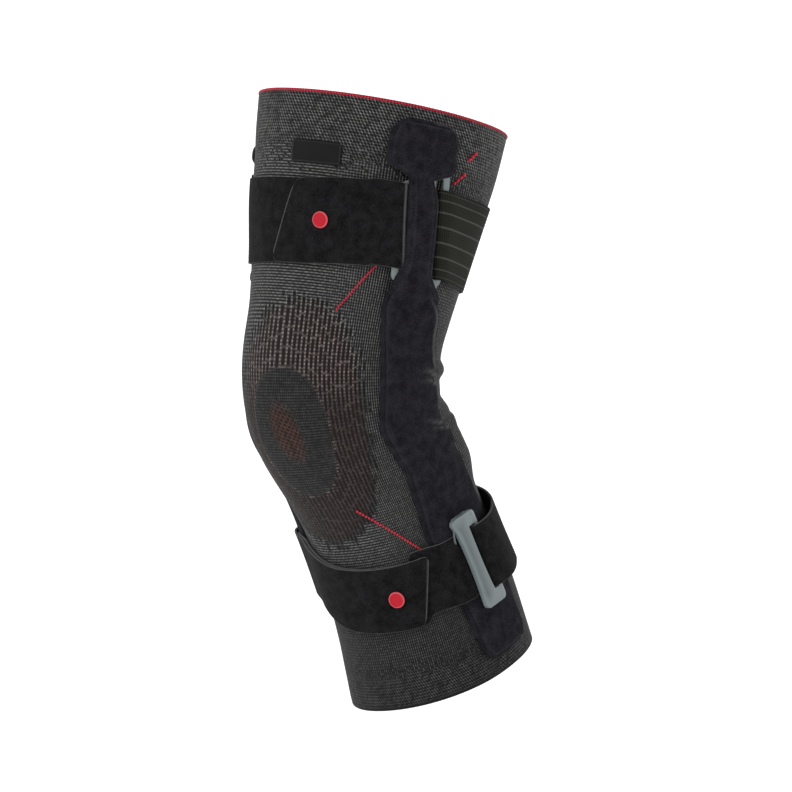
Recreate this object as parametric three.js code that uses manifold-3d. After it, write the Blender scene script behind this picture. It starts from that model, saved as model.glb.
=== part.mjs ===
// A hinged knee brace, worn on a leg that is bent at the knee. A knitted sleeve holds two side
// pockets, each pocket a splint, and each splint two strap loops that the straps run through.
// Lengths are in millimetres and turns in degrees. Z is up, the front faces -Y, the outer side +X.
// The origin is the middle of the knee. "up" is the distance from it along the bent centre line,
// "turn" goes round the leg from the front towards the outer side, and "lift" is the height above
// the knit.
import * as THREE from "three";
import { mergeVertices } from "three/addons/utils/BufferGeometryUtils.js";
import Module from "manifold-3d";

const wasm = await Module();
wasm.setup();

// The leg's own form, measured on the outside of the knit
const THIGH_LENGTH = 181; // knee to top hem
const CALF_LENGTH = 194; // knee to bottom hem
const THIGH_LEAN = 11.5; // the thigh leans back above the knee
const CALF_LEAN = 23; // the calf runs back below the knee
const THIGH_SPREAD = 2.6; // both also run a little to the outer side
const CALF_SPREAD = 6;
const BEND_LENGTH = 100; // of the curve through the knee
const KNEE_HALF_WIDTH = 60;
const KNEE_FRONT = 56; // centre line to kneecap
const KNEE_BACK = 54; // centre line to the hollow of the knee

// at: share of the thigh's length above the knee and of the calf's below it.
// width, front, back: shares of the knee's. square: 2 is an ellipse, more is squarer.
const LEG_SECTIONS = [
  { at: -1.0, width: 1.0, front: 0.91, back: 1.3, square: 2.1 },
  { at: -0.77, width: 0.97, front: 0.78, back: 1.39, square: 2.1 },
  { at: -0.59, width: 0.95, front: 0.7, back: 1.35, square: 2.15 },
  { at: -0.41, width: 0.95, front: 0.7, back: 1.3, square: 2.2 },
  { at: -0.23, width: 0.97, front: 0.82, back: 1.19, square: 2.25 },
  { at: -0.08, width: 1.0, front: 0.98, back: 1.08, square: 2.3 },
  { at: 0.08, width: 1.02, front: 1.035, back: 1.05, square: 2.35 },
  { at: 0.25, width: 1.07, front: 1.02, back: 1.08, square: 2.3 },
  { at: 0.44, width: 1.15, front: 1.11, back: 1.19, square: 2.2 },
  { at: 0.635, width: 1.23, front: 1.25, back: 1.31, square: 2.15 },
  { at: 0.83, width: 1.27, front: 1.34, back: 1.49, square: 2.1 },
  { at: 1.0, width: 1.27, front: 1.39, back: 1.59, square: 2.1 },
];

// The knitted sleeve
const KNIT_WALL = 2.4;
const SLEEVE_SIDES = 44;
const HEM_HEIGHT = 2.3; // the coloured edge on top of the knit
const HEM_PROUD = 0.4; // that edge is a little thicker than the knit
const FOLD_HEIGHT = 3; // of the soft folds at the back of the knee
const FOLD_SPACING = 14;
const FOLD_HALF = 0.55; // half a fold's width, in fold spacings
const FOLD_REACH = 75; // degrees either side of a fold's highest point
const FOLD_FADE = 14; // degrees over which the folds die out beside the pockets
// place: in fold spacings above the knee. height: share of the fold height. side: where it is
// highest, in degrees from the back towards the outer side.
const BACK_FOLDS = [
  { place: 1.7, height: 0.55, side: 30 },
  { place: 0.9, height: 1.0, side: -40 },
  { place: 0.1, height: 0.7, side: 20 },
  { place: -1.0, height: 1.0, side: -25 },
  { place: -2.2, height: 0.5, side: 15 },
];

// Clearances between layers that touch
const GAP = 0.3;
const KNIT_GAP = 0.5; // on the knit, whose facets and the layer's cross
const RAIL_GAP = 0.55; // of a strap round a loop's rail
const PAD_GAP = 0.5; // of a pocket's cloth over its splint and loop
const STRAP_GAP = 0.7; // of a strap over a pocket's padded middle

// The side pockets and the splints inside them
const POCKET_WALL = 1.6;
const POCKET_TOP_MARGIN = 8; // below the top hem
const POCKET_FOOT_MARGIN = 11; // above the bottom hem
const HEAD_WIDTH = 46;
const NECK_WIDTH = 17;
const POCKET_WIDTH = 52;
const FOOT_WIDTH = 44;
const HEAD_CORNER = 14; // radius of the head's two corners
const FOOT_CORNER = 13;
const HEAD_TAPER = 9; // length of the change from neck to head
const BODY_TAPER = 31; // and from neck to the wide part
const FOOT_TAPER = 45;
const POCKET_BORDER = 4.2; // flat edge welded to the knit, up to the padded middle
const PAD_RAMP = 2; // width of the step up to the padded middle
const SPLINT_THICKNESS = 2.5;
const SPLINT_PLAY = 0.8; // between a splint's edge and its pocket's padded middle
const LOOP_COVER = 3; // how far the pocket's cloth stays up beyond an upper loop
const LOOP_RAMP = 0.7; // and the slope at which it comes down from there
// outer, inner: turn of the pocket's middle line on that side.
const SIDE_LINE = [
  { at: -1.0, outer: 98, inner: 98 },
  { at: -0.62, outer: 98, inner: 98 },
  { at: -0.31, outer: 96, inner: 97 },
  { at: 0.0, outer: 90, inner: 92 },
  { at: 0.31, outer: 81, inner: 91 },
  { at: 0.61, outer: 71, inner: 89 },
  { at: 1.0, outer: 64, inner: 86 },
];

// The strap loops. An upper one is a plate with a long slot either side of its middle, and a lower
// one is a thicker plate with one wide slot, in front of which its rail is broad.
const UPPER_LOOP_LENGTH = 75;
const UPPER_LOOP_WIDTH = 36;
const UPPER_LOOP_THICKNESS = 2.4;
const UPPER_RAIL_WIDTH = 4.4;
const UPPER_SLOT_WIDTH = 5.2;
const LOWER_LOOP_LENGTH = 62;
const LOWER_LOOP_WIDTH = 23;
const LOWER_LOOP_THICKNESS = 3.6;
const FRONT_RAIL_WIDTH = 8;
const REAR_RAIL_WIDTH = 5.6;
const LOOP_HEAD = 6.5; // solid end beyond the slots
const LOOP_CORNER = 1.6;
const LOOP_FOOT_WIDTH = 12; // feet of a lower loop, through its pocket to the splint
const LOOP_FOOT_LENGTH = 3.5;
const UPPER_LOOP_DROP = 72; // top hem to the middle of an upper loop
const LOWER_LOOP_RISE = 75; // bottom hem to the middle of the lower outer loop
const INNER_LOOP_RISE = 15; // the lower inner loop lies this much higher

// The straps
const STRAP_THICKNESS = 1.6;
const UPPER_STRAP_WIDTH = 53;
const UPPER_STRAP_DIP = 9; // lower at the front than at the loops
const UPPER_END_TURN = -3; // where the free end stops, in degrees
const UPPER_END_SLANT = 6.5; // either way of square at the strap's edges
const ELASTIC_WIDTH = 55;
const ELASTIC_RIBS = 6;
const RIB_HEIGHT = 0.5;
const LOWER_STRAP_WIDTH = 42;
const LOWER_END_TURN = 54;
const LOWER_END_SLANT = 7.5;
const TAIL_LENGTH = 14; // sewn end, beyond the rail that it is turned round
const PAST_RAIL = 1; // a strap stays level until it is this far past a rail
const SETTLE = 8; // and comes down to the knit over this distance
const FOLD_SETTLE = 11; // or over this one, where it lies on itself
const SLOT_TURN = 0.9; // it turns down through a slot this far from the slot's edges
const STRAP_STEP = 9; // between the corners of a strap's facets

// Buttons that mark the pull ends, and the bare patch
const BUTTON_DIAMETER = 10;
const BUTTON_HEIGHT = 2.2;
const UPPER_BUTTON_TURN = 17;
const LOWER_BUTTON_TURN = 31;
const LABEL_WIDTH = 33;
const LABEL_HEIGHT = 16.5;
const LABEL_THICKNESS = 1;
const LABEL_TURN = 13;
const LABEL_DROP = 36.5; // top hem to the middle of the patch
const LABEL_CORNER = 3;

const RAD = Math.PI / 180;
const { min, max, abs, sin, cos, sign, hypot, round } = Math;
const clamp = (x, low, high) => min(max(x, low), high);
const mix = (a, b, share) => a + (b - a) * share;
const smooth = (x) => {
  const t = clamp(x, 0, 1);
  return t * t * (3 - 2 * t);
};

// Smooth reading of a table's column between its rows, which rise in "at".
function read(rows, column, at) {
  const last = rows.length - 1;
  let i = 0;
  while (i < last - 1 && rows[i + 1].at < at) i++;
  const slope = (j) => {
    const low = rows[max(j - 1, 0)];
    const high = rows[min(j + 1, last)];
    return (high[column] - low[column]) / (high.at - low.at);
  };
  const a = rows[i];
  const b = rows[i + 1];
  const span = b.at - a.at;
  const t = clamp((at - a.at) / span, 0, 1);
  const rise = b[column] - a[column];
  const start = slope(i) * span;
  const end = slope(i + 1) * span;
  return a[column] + start * t + (3 * rise - 2 * start - end) * t * t + (start + end - 2 * rise) * t ** 3;
}

const shareOf = (up) => up / (up > 0 ? THIGH_LENGTH : CALF_LENGTH);

// A line that is straight, then an arc through the knee, then straight again: how far it has gone
// across and along after "up", and its tilt there.
function bent(up, below, above) {
  const half = BEND_LENGTH / 2;
  const rate = (above - below) / BEND_LENGTH;
  const inArc = clamp(up, -half, half);
  const kneeTilt = below + rate * half;
  const tilt = below + rate * (inArc + half);
  return {
    across: (cos(kneeTilt) - cos(tilt)) / rate + (up - inArc) * sin(tilt),
    along: (sin(tilt) - sin(kneeTilt)) / rate + (up - inArc) * cos(tilt),
    tilt,
  };
}

// The point of the leg's surface at a turn and height, lifted off it.
function onLeg(turn, up, lift) {
  const at = shareOf(up);
  const lean = bent(up, -CALF_LEAN * RAD, THIGH_LEAN * RAD);
  const spread = bent(up, -CALF_SPREAD * RAD, THIGH_SPREAD * RAD);
  const square = read(LEG_SECTIONS, "square", at);
  const halfWidth = KNEE_HALF_WIDTH * read(LEG_SECTIONS, "width", at);
  const s = sin(turn * RAD);
  const c = cos(turn * RAD);
  const depth = c >= 0
    ? KNEE_FRONT * read(LEG_SECTIONS, "front", at)
    : KNEE_BACK * read(LEG_SECTIONS, "back", at);
  let side = halfWidth * sign(s) * abs(s) ** (2 / square);
  let front = depth * sign(c) * abs(c) ** (2 / square);
  const outSide = (sign(side) * abs(side / halfWidth) ** (square - 1)) / halfWidth;
  const outFront = (sign(front) * abs(front / depth) ** (square - 1)) / depth;
  const size = hypot(outSide, outFront);
  side += (lift * outSide) / size;
  front += (lift * outFront) / size;
  return new THREE.Vector3(
    spread.across + side * cos(spread.tilt),
    lean.across - side * sin(spread.tilt) * sin(lean.tilt) - front * cos(lean.tilt),
    lean.along - side * sin(spread.tilt) * cos(lean.tilt) + front * sin(lean.tilt),
  );
}

// The turn that is reached by going a distance round the leg from another turn.
function turned(turn, up, distance) {
  const steps = 6;
  let reached = turn;
  for (let i = 0; i < steps; i++) {
    const perDegree = onLeg(reached - 1, up, 0).distanceTo(onLeg(reached + 1, up, 0)) / 2;
    reached += distance / steps / perDegree;
  }
  return reached;
}

// The turn of a side's middle line. side is 1 for the outer and -1 for the inner one.
const sideTurn = (side, up) => read(SIDE_LINE, side > 0 ? "outer" : "inner", shareOf(up));

// A point beside that line. A positive distance is towards the back on both sides.
const besideTurn = (side, distance, up) => side * turned(sideTurn(side, up), up, distance);
const beside = (side, distance, up, lift) => onLeg(besideTurn(side, distance, up), up, lift);

// A closed geometry from points and faces of three or four corners. It is turned right side out.
function closed(points, faces) {
  const triangles = [];
  for (const [a, b, c, d] of faces) {
    triangles.push([a, b, c]);
    if (d !== undefined) triangles.push([a, c, d]);
  }
  const cross = new THREE.Vector3();
  let volume = 0;
  for (const [a, b, c] of triangles)
    volume += points[a].dot(cross.crossVectors(points[b], points[c]));
  const order = volume < 0 ? triangles.map(([a, b, c]) => [a, c, b]) : triangles;
  const geometry = new THREE.BufferGeometry().setFromPoints(points);
  geometry.setIndex(order.flat());
  geometry.computeVertexNormals();
  return geometry;
}

// A sheet of cells with a thickness. point(row, column, face) gives each corner on face 1, the
// outer, or 0, the inner. open(row, column) says which cells are holes.
function sheet(rows, columns, point, open = () => false) {
  const points = [];
  for (const face of [0, 1])
    for (let r = 0; r < rows; r++) for (let c = 0; c < columns; c++) points.push(point(r, c, face));
  const at = (r, c, face) => (face * rows + r) * columns + c;
  const solid = (r, c) => r >= 0 && c >= 0 && r < rows - 1 && c < columns - 1 && !open(r, c);
  const faces = [];
  const wall = (r1, c1, r2, c2) =>
    faces.push([at(r1, c1, 0), at(r2, c2, 0), at(r2, c2, 1), at(r1, c1, 1)]);
  for (let r = 0; r < rows - 1; r++)
    for (let c = 0; c < columns - 1; c++) {
      if (!solid(r, c)) continue;
      faces.push([at(r, c, 1), at(r, c + 1, 1), at(r + 1, c + 1, 1), at(r + 1, c, 1)]);
      faces.push([at(r, c, 0), at(r + 1, c, 0), at(r + 1, c + 1, 0), at(r, c + 1, 0)]);
      if (!solid(r - 1, c)) wall(r, c, r, c + 1);
      if (!solid(r + 1, c)) wall(r + 1, c + 1, r + 1, c);
      if (!solid(r, c - 1)) wall(r + 1, c, r, c);
      if (!solid(r, c + 1)) wall(r, c + 1, r + 1, c + 1);
    }
  return closed(points, faces);
}

// A tube round the leg, open at both ends. outer and inner are lists of heights, point(turn, up,
// face) gives the corners.
function tube(outer, inner, sides, point) {
  const points = [];
  const rings = [...outer.map((up) => [up, 1]), ...[...inner].reverse().map((up) => [up, 0])];
  for (const [up, face] of rings)
    for (let i = 0; i < sides; i++) points.push(point((360 * i) / sides, up, face));
  const faces = [];
  for (let ring = 0; ring < rings.length; ring++)
    for (let i = 0; i < sides; i++) {
      const next = (ring + 1) % rings.length;
      const j = (i + 1) % sides;
      faces.push([ring * sides + i, ring * sides + j, next * sides + j, next * sides + i]);
    }
  return closed(points, faces);
}

// Heights from low to high, no further apart than a step.
function heights(low, high, step) {
  const count = max(1, Math.ceil((high - low) / step));
  return Array.from({ length: count + 1 }, (_, i) => mix(low, high, i / count));
}

function toSolid(geometry) {
  const bare = geometry.clone();
  for (const name of ["normal", "uv"]) bare.deleteAttribute(name);
  const merged = mergeVertices(bare, 1e-4);
  return new wasm.Manifold(
    new wasm.Mesh({
      numProp: 3,
      vertProperties: merged.attributes.position.array,
      triVerts: new Uint32Array(merged.index.array),
    }),
  );
}

function toGeometry(solid) {
  const mesh = solid.getMesh();
  const geometry = new THREE.BufferGeometry();
  geometry.setAttribute("position", new THREE.BufferAttribute(mesh.vertProperties, 3));
  geometry.setIndex(new THREE.BufferAttribute(mesh.triVerts, 1));
  geometry.computeVertexNormals();
  return geometry;
}

// Where the layers lie above the knit
const SPLINT_TOP = KNIT_GAP + SPLINT_THICKNESS;
const PAD_UNDER = SPLINT_TOP + PAD_GAP; // under a pocket's padded middle
const PAD_TOP = PAD_UNDER + POCKET_WALL;
const UPPER_LOOP_LIFT = SPLINT_TOP + GAP; // an upper loop lies on the splint, in the pocket
const STRAP_LAYER = STRAP_THICKNESS + GAP;
const LOWER_LOOP_LIFT = PAD_TOP + STRAP_GAP + STRAP_THICKNESS + RAIL_GAP; // its strap is beneath
const UPPER_LOOP_UP = THIGH_LENGTH - UPPER_LOOP_DROP;
const LOWER_LOOP_UP = -(CALF_LENGTH - LOWER_LOOP_RISE);
// The slots are given by their front and rear edges, from the loop's middle.
const slotEdge = UPPER_LOOP_WIDTH / 2 - UPPER_RAIL_WIDTH;
const UPPER_LOOP = {
  length: UPPER_LOOP_LENGTH,
  half: UPPER_LOOP_WIDTH / 2,
  thickness: UPPER_LOOP_THICKNESS,
  slots: [[-slotEdge, UPPER_SLOT_WIDTH - slotEdge], [slotEdge - UPPER_SLOT_WIDTH, slotEdge]],
  lift: UPPER_LOOP_LIFT,
};
const LOWER_LOOP = {
  length: LOWER_LOOP_LENGTH,
  half: LOWER_LOOP_WIDTH / 2,
  thickness: LOWER_LOOP_THICKNESS,
  slots: [[FRONT_RAIL_WIDTH - LOWER_LOOP_WIDTH / 2, LOWER_LOOP_WIDTH / 2 - REAR_RAIL_WIDTH]],
  lift: LOWER_LOOP_LIFT,
};

const POCKET_TOP = THIGH_LENGTH - POCKET_TOP_MARGIN;
const POCKET_FOOT = -(CALF_LENGTH - POCKET_FOOT_MARGIN);
const NECK_TOP = UPPER_LOOP_UP + ELASTIC_WIDTH / 2;
const NECK_FOOT = UPPER_LOOP_UP - ELASTIC_WIDTH / 2;
const FOOT_START = POCKET_FOOT + FOOT_WIDTH / 2;

// Half the pocket's width at a height, with its whole outline drawn in by an inset.
function pocketHalf(up, inset) {
  const head = smooth((up - NECK_TOP) / HEAD_TAPER);
  const body = smooth((NECK_FOOT - up) / BODY_TAPER);
  const foot = smooth(1 - (up - FOOT_START) / FOOT_TAPER);
  const below = mix(POCKET_WIDTH, FOOT_WIDTH, foot);
  const width = mix(mix(NECK_WIDTH, HEAD_WIDTH, head), below, body);
  // How far a round corner of an end draws the outline in.
  const drawnIn = (end, corner) => {
    const radius = max(corner - inset, 0);
    const left = clamp(radius - abs(end - up) + inset, 0, radius);
    return radius - (radius ** 2 - left ** 2) ** 0.5;
  };
  return width / 2 - inset - drawnIn(POCKET_TOP, HEAD_CORNER) - drawnIn(POCKET_FOOT, FOOT_CORNER);
}

// Heights for a pocket's or a splint's rows: close together round its ends and along its loop.
function pocketRows(inset, nearEnd) {
  const endRows = (corner) => [...nearEnd, (corner - inset) * 0.6, corner - inset];
  const loopEnd = UPPER_LOOP_LENGTH / 2 + LOOP_COVER;
  const rampEnd = loopEnd + (UPPER_LOOP_THICKNESS + GAP) / LOOP_RAMP;
  const neck = heights(NECK_FOOT, NECK_TOP, 19);
  return [
    ...endRows(FOOT_CORNER).map((rise) => POCKET_FOOT + inset + rise),
    ...heights(FOOT_START, UPPER_LOOP_UP - rampEnd, 17),
    UPPER_LOOP_UP - loopEnd,
    mix(UPPER_LOOP_UP - loopEnd, NECK_FOOT, 0.5),
    ...neck,
    mix(NECK_TOP, UPPER_LOOP_UP + loopEnd, 0.5),
    UPPER_LOOP_UP + loopEnd,
    UPPER_LOOP_UP + rampEnd,
    ...endRows(HEAD_CORNER).map((drop) => POCKET_TOP - inset - drop),
  ].sort((a, b) => a - b);
}

// The underside of a pocket: on the knit at its border, over the splint, and over an upper loop.
function pocketUnder(distance, inset, up) {
  const onSplint = mix(KNIT_GAP, PAD_UNDER, clamp((inset - POCKET_BORDER) / PAD_RAMP + 1, 0, 1));
  const pastLoop = max(
    abs(up - UPPER_LOOP_UP) - UPPER_LOOP_LENGTH / 2 - LOOP_COVER,
    abs(distance) - UPPER_LOOP.half - LOOP_COVER,
    0,
  );
  const onLoop = UPPER_LOOP_LIFT + UPPER_LOOP_THICKNESS + PAD_GAP - LOOP_RAMP * pastLoop;
  return max(onSplint, onLoop);
}

function pocket(side, loopUp) {
  const padEdge = POCKET_BORDER - PAD_RAMP;
  const rows = pocketRows(0, [0, padEdge, POCKET_BORDER]);
  // Each column lies at an inset from the edge, then at a share of what is left.
  const columns = [
    { inset: 0, share: -1 },
    { inset: padEdge, share: -1 },
    { inset: POCKET_BORDER, share: -1 },
    { inset: POCKET_BORDER, share: -0.5 },
    { inset: POCKET_BORDER, share: 0 },
    { inset: POCKET_BORDER, share: 0.5 },
    { inset: POCKET_BORDER, share: 1 },
    { inset: padEdge, share: 1 },
    { inset: 0, share: 1 },
  ];
  const body = sheet(rows.length, columns.length, (r, c, face) => {
    const up = rows[r];
    const half = pocketHalf(up, 0);
    const { share } = columns[c];
    const inset = min(columns[c].inset, half * 0.6);
    const distance = share * (half - inset);
    const fromEnd = min(up - POCKET_FOOT, POCKET_TOP - up);
    const fromEdge = min(half - abs(distance), fromEnd);
    return beside(side, distance, up, pocketUnder(distance, fromEdge, up) + face * POCKET_WALL);
  });
  const slits = loopFeet(side, loopUp, KNIT_GAP, PAD_TOP + GAP, GAP);
  return slits.reduce((left, slit) => left.subtract(slit), toSolid(body));
}

function splint(side) {
  const inset = POCKET_BORDER + SPLINT_PLAY;
  const rows = pocketRows(inset, [0, PAD_RAMP]);
  const columns = 5;
  return sheet(rows.length, columns, (r, c, face) => {
    const distance = pocketHalf(rows[r], inset) * mix(-1, 1, c / (columns - 1));
    return beside(side, distance, rows[r], KNIT_GAP + face * SPLINT_THICKNESS);
  });
}

// The two feet of a lower loop as solids, or with a play round them the slits that they go through.
function loopFeet(side, loopUp, low, high, play) {
  return [-1, 1].map((end) => {
    const middle = loopUp + (end * (LOWER_LOOP_LENGTH - LOOP_HEAD)) / 2;
    const half = LOOP_FOOT_WIDTH / 2 + play;
    return toSolid(
      sheet(2, 3, (r, c, face) => {
        const up = middle + (r - 0.5) * (LOOP_FOOT_LENGTH + 2 * play);
        return beside(side, half * (c - 1), up, face ? high : low);
      }),
    );
  });
}

function loopPlate(side, loop, loopUp) {
  const edges = loop.slots.flat();
  const columns = [-loop.half, ...edges, 0, loop.half].sort((a, b) => a - b);
  const end = loop.length / 2;
  const slotEnd = end - LOOP_HEAD;
  const rows = [-end, ...heights(-slotEnd, slotEnd, 21), end];
  const slotColumn = (c) => loop.slots.some(([from, to]) => columns[c] >= from && columns[c] < to);
  const open = (r, c) => slotColumn(c) && r > 0 && r < rows.length - 2;
  return sheet(
    rows.length,
    columns.length,
    (r, c, face) => {
      const corner = abs(columns[c]) === loop.half && abs(rows[r]) === end ? LOOP_CORNER : 0;
      const distance = columns[c] - sign(columns[c]) * corner;
      const up = loopUp + rows[r] - sign(rows[r]) * corner;
      return beside(side, distance, up, loop.lift + face * loop.thickness);
    },
    open,
  );
}

// A lower loop stands on its splint with a foot at either end.
function lowerLoop(side, loopUp) {
  const plate = toSolid(loopPlate(side, LOWER_LOOP, loopUp));
  const feet = loopFeet(side, loopUp, SPLINT_TOP + GAP, LOWER_LOOP_LIFT + GAP, 0);
  return feet.reduce((whole, foot) => whole.add(foot), plate);
}

function knitFold(turn, up) {
  let height = 0;
  const fromFront = 180 - abs(turn - 180);
  const side = turn < 180 ? 1 : -1;
  const pocketEdge = turned(sideTurn(side, up), up, POCKET_WIDTH / 2);
  const fade = smooth((fromFront - pocketEdge) / FOLD_FADE);
  for (const fold of BACK_FOLDS) {
    const away = abs(up / FOLD_SPACING - fold.place) / FOLD_HALF;
    const fromTop = abs(((turn + 180 + fold.side + 540) % 360) - 180) / FOLD_REACH;
    if (away < 1 && fromTop < 1) {
      const ridge = (cos(away * 180 * RAD) + 1) / 2;
      height = max(height, fold.height * ridge * (1 - fromTop ** 2));
    }
  }
  return height * fade * FOLD_HEIGHT;
}

function sleeve() {
  // Rows on each fold and in each hollow between two.
  const peaks = BACK_FOLDS.map((fold) => fold.place * FOLD_SPACING).reverse();
  const hollows = peaks.slice(1).map((peak, i) => (peak + peaks[i]) / 2);
  const low = peaks[0] - FOLD_HALF * FOLD_SPACING;
  const high = peaks.at(-1) + FOLD_HALF * FOLD_SPACING;
  const outer = [
    ...heights(-CALF_LENGTH, low, 19),
    ...[...peaks, ...hollows].sort((a, b) => a - b),
    ...heights(high, THIGH_LENGTH, 14),
  ];
  const inner = [
    ...heights(-CALF_LENGTH, -BEND_LENGTH / 2, 50),
    ...heights(-BEND_LENGTH / 2, BEND_LENGTH / 2, 17).slice(1, -1),
    ...heights(BEND_LENGTH / 2, THIGH_LENGTH, 50),
  ];
  return tube(outer, inner, SLEEVE_SIDES, (turn, up, face) =>
    onLeg(turn, up, face ? knitFold(turn, up) : -KNIT_WALL),
  );
}

function topHem() {
  const low = THIGH_LENGTH + GAP;
  const ups = [low, low + HEM_HEIGHT];
  return tube(ups, ups, SLEEVE_SIDES, (turn, up, face) =>
    onLeg(turn, up, face ? HEM_PROUD : -KNIT_WALL - HEM_PROUD),
  );
}

// A strap follows a path of points { turn(up), lift, up, slant }: the middle of its thickness.
// Each point's corners lie across the strap at heights round the point's own.
function ribbon(path, width, across, thicknessAt) {
  // The path laid out flat: the distance gone round the leg, and the lift.
  const flat = [new THREE.Vector2(0, path[0].lift)];
  for (let i = 1; i < path.length; i++) {
    const a = path[i - 1];
    const b = path[i];
    const from = a.turn(b.up);
    const to = b.turn(b.up);
    const gone = onLeg(from, b.up, 0).distanceTo(onLeg(to, b.up, 0)) * sign(to - from);
    flat.push(new THREE.Vector2(flat[i - 1].x + gone, b.lift));
  }
  const heading = (i) => flat[i + 1].clone().sub(flat[i]).normalize();
  const normals = flat.map((_, i) => {
    const before = heading(max(i - 1, 0));
    const after = heading(min(i, flat.length - 2));
    const along = before.clone().add(after).normalize();
    const stretch = 1 / max(along.dot(after), 0.7);
    return new THREE.Vector2(-along.y, along.x).multiplyScalar(stretch);
  });
  return sheet(path.length, across.length, (r, c, face) => {
    const { turn, up: middle, slant = 0 } = path[r];
    const share = across[c];
    const up = middle + (share * width) / 2;
    const off = thicknessAt(share, face);
    const shift = off * normals[r].x + share * slant;
    return onLeg(turned(turn(up), up, shift), up, path[r].lift + off * normals[r].y);
  });
}

const evenThickness = (share, face) => (face - 0.5) * STRAP_THICKNESS;

// The elastic band's outer face has ribs that run along it, on every other line of its corners.
const ribLines = heights(-1, 1, 1 / ELASTIC_RIBS);
function ribbedThickness(share, face) {
  const line = round((share + 1) * ELASTIC_RIBS);
  return evenThickness(share, face) + (face && line % 2 === 1 ? RIB_HEIGHT : 0);
}

// Path points near a loop: a distance from the side's middle line, and a lift.
const nearLoop = (side, distance, lift, up) => ({
  turn: (height) => besideTurn(side, distance, height),
  lift,
  up,
});

// A strap's turn round a rail, from under the rail to over it. back is 1 for the rear rail and -1
// for the front one.
function roundRail(side, back, loop, up) {
  const middle = loop.lift + loop.thickness / 2;
  const radius = loop.thickness / 2 + RAIL_GAP + STRAP_THICKNESS / 2;
  const centre = (back > 0 ? loop.slots.at(-1)[1] : -loop.slots[0][0]) + RAIL_GAP;
  return [-90, -45, 0, 45, 90].map((angle) => {
    const distance = centre - radius * cos(angle * RAD);
    return nearLoop(side, back * distance, middle + radius * sin(angle * RAD), up);
  });
}

const LAY = KNIT_GAP + STRAP_THICKNESS / 2; // a strap's middle, lying on the knit
const SECOND_LAY = LAY + STRAP_LAYER; // and lying on itself
const HALF_STRAP = STRAP_THICKNESS / 2;
const UPPER_PASS = UPPER_LOOP_LIFT - RAIL_GAP - HALF_STRAP; // under an upper loop's rail
const UPPER_OVER = UPPER_LOOP_LIFT + UPPER_LOOP_THICKNESS + RAIL_GAP + HALF_STRAP;
const LOWER_PASS = LOWER_LOOP_LIFT - RAIL_GAP - HALF_STRAP;
const LOWER_OVER = LOWER_LOOP_LIFT + LOWER_LOOP_THICKNESS + RAIL_GAP + HALF_STRAP;
const PAST_UPPER = UPPER_LOOP.half + PAST_RAIL;
const PAST_LOWER = LOWER_LOOP.half + PAST_RAIL;
const TAIL_END = UPPER_LOOP.half + TAIL_LENGTH;

// share: of the side line's turn, from 0 at the front to 1 at the outer line. dip: of the dip.
const UPPER_LINE = [
  { at: -1.0, dip: 0 },
  { at: -0.5, dip: 0.95 },
  { at: 0.08, dip: 0.95 },
  { at: 0.43, dip: 0.5 },
  { at: 0.8, dip: 0 },
  { at: 1.0, dip: 0 },
];
const upperLineUp = (share) => UPPER_LOOP_UP - UPPER_STRAP_DIP * read(UPPER_LINE, "dip", share);

// Points of a layer across the front between two shares of the side line's turn.
function frontLayer(from, to, lift, lineUp) {
  const middle = lineUp((from + to) / 2);
  const turnOf = (share, up) => share * sideTurn(sign(share), up);
  const length = onLeg(turnOf(from, middle), middle, 0)
    .distanceTo(onLeg(turnOf(to, middle), middle, 0));
  const count = max(2, Math.ceil((1.25 * length) / STRAP_STEP));
  return Array.from({ length: count + 1 }, (_, i) => {
    const share = mix(from, to, i / count);
    return { turn: (up) => turnOf(share, up), lift, up: lineUp(share) };
  });
}

const THIGH_REACH = 0.6; // share of the way to a loop at which a strap starts to rise to it
const INNER_REACH = 0.72;
const SHIN_REACH = 0.48;

// The upper strap is sewn round the inner loop's front rail, crosses the thigh under its own free
// end, turns round the outer loop's front rail and is pressed back on itself.
function upperStrap() {
  const up = UPPER_LOOP_UP;
  const sewn = [
    nearLoop(-1, -TAIL_END, SECOND_LAY, up),
    nearLoop(-1, -PAST_UPPER, UPPER_OVER, up),
    ...roundRail(-1, -1, UPPER_LOOP, up).reverse(),
    nearLoop(-1, -PAST_UPPER, UPPER_PASS, up),
    nearLoop(-1, -PAST_UPPER - SETTLE, LAY, up),
  ];
  const folded = [
    nearLoop(1, -PAST_UPPER - SETTLE, LAY, up),
    nearLoop(1, -PAST_UPPER, UPPER_PASS, up),
    ...roundRail(1, -1, UPPER_LOOP, up),
    nearLoop(1, -PAST_UPPER, UPPER_OVER, up),
    nearLoop(1, -PAST_UPPER - FOLD_SETTLE, SECOND_LAY, up),
  ];
  const endShare = UPPER_END_TURN / sideTurn(-1, up);
  const free = frontLayer(THIGH_REACH, endShare, SECOND_LAY, upperLineUp);
  free.at(-1).slant = UPPER_END_SLANT;
  free.at(-2).slant = UPPER_END_SLANT * 0.7;
  return ribbon(
    [...sewn, ...frontLayer(-INNER_REACH, THIGH_REACH, LAY, upperLineUp), ...folded, ...free],
    UPPER_STRAP_WIDTH,
    [-1, 0, 1],
    evenThickness,
  );
}

// Points of a layer round the back, between the two side lines. share is 0 at the outer line and
// 1 at the inner one.
function backLayer(rows, lineUp) {
  return rows.map(({ share, lift }) => ({
    turn: (up) => mix(sideTurn(1, up), 360 - sideTurn(-1, up), share),
    lift,
    up: lineUp(share),
  }));
}

// A point near the inner loop, for a strap that comes round the back.
function fromBack(point) {
  return { ...point, turn: (up) => point.turn(up) + 360 };
}

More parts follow.
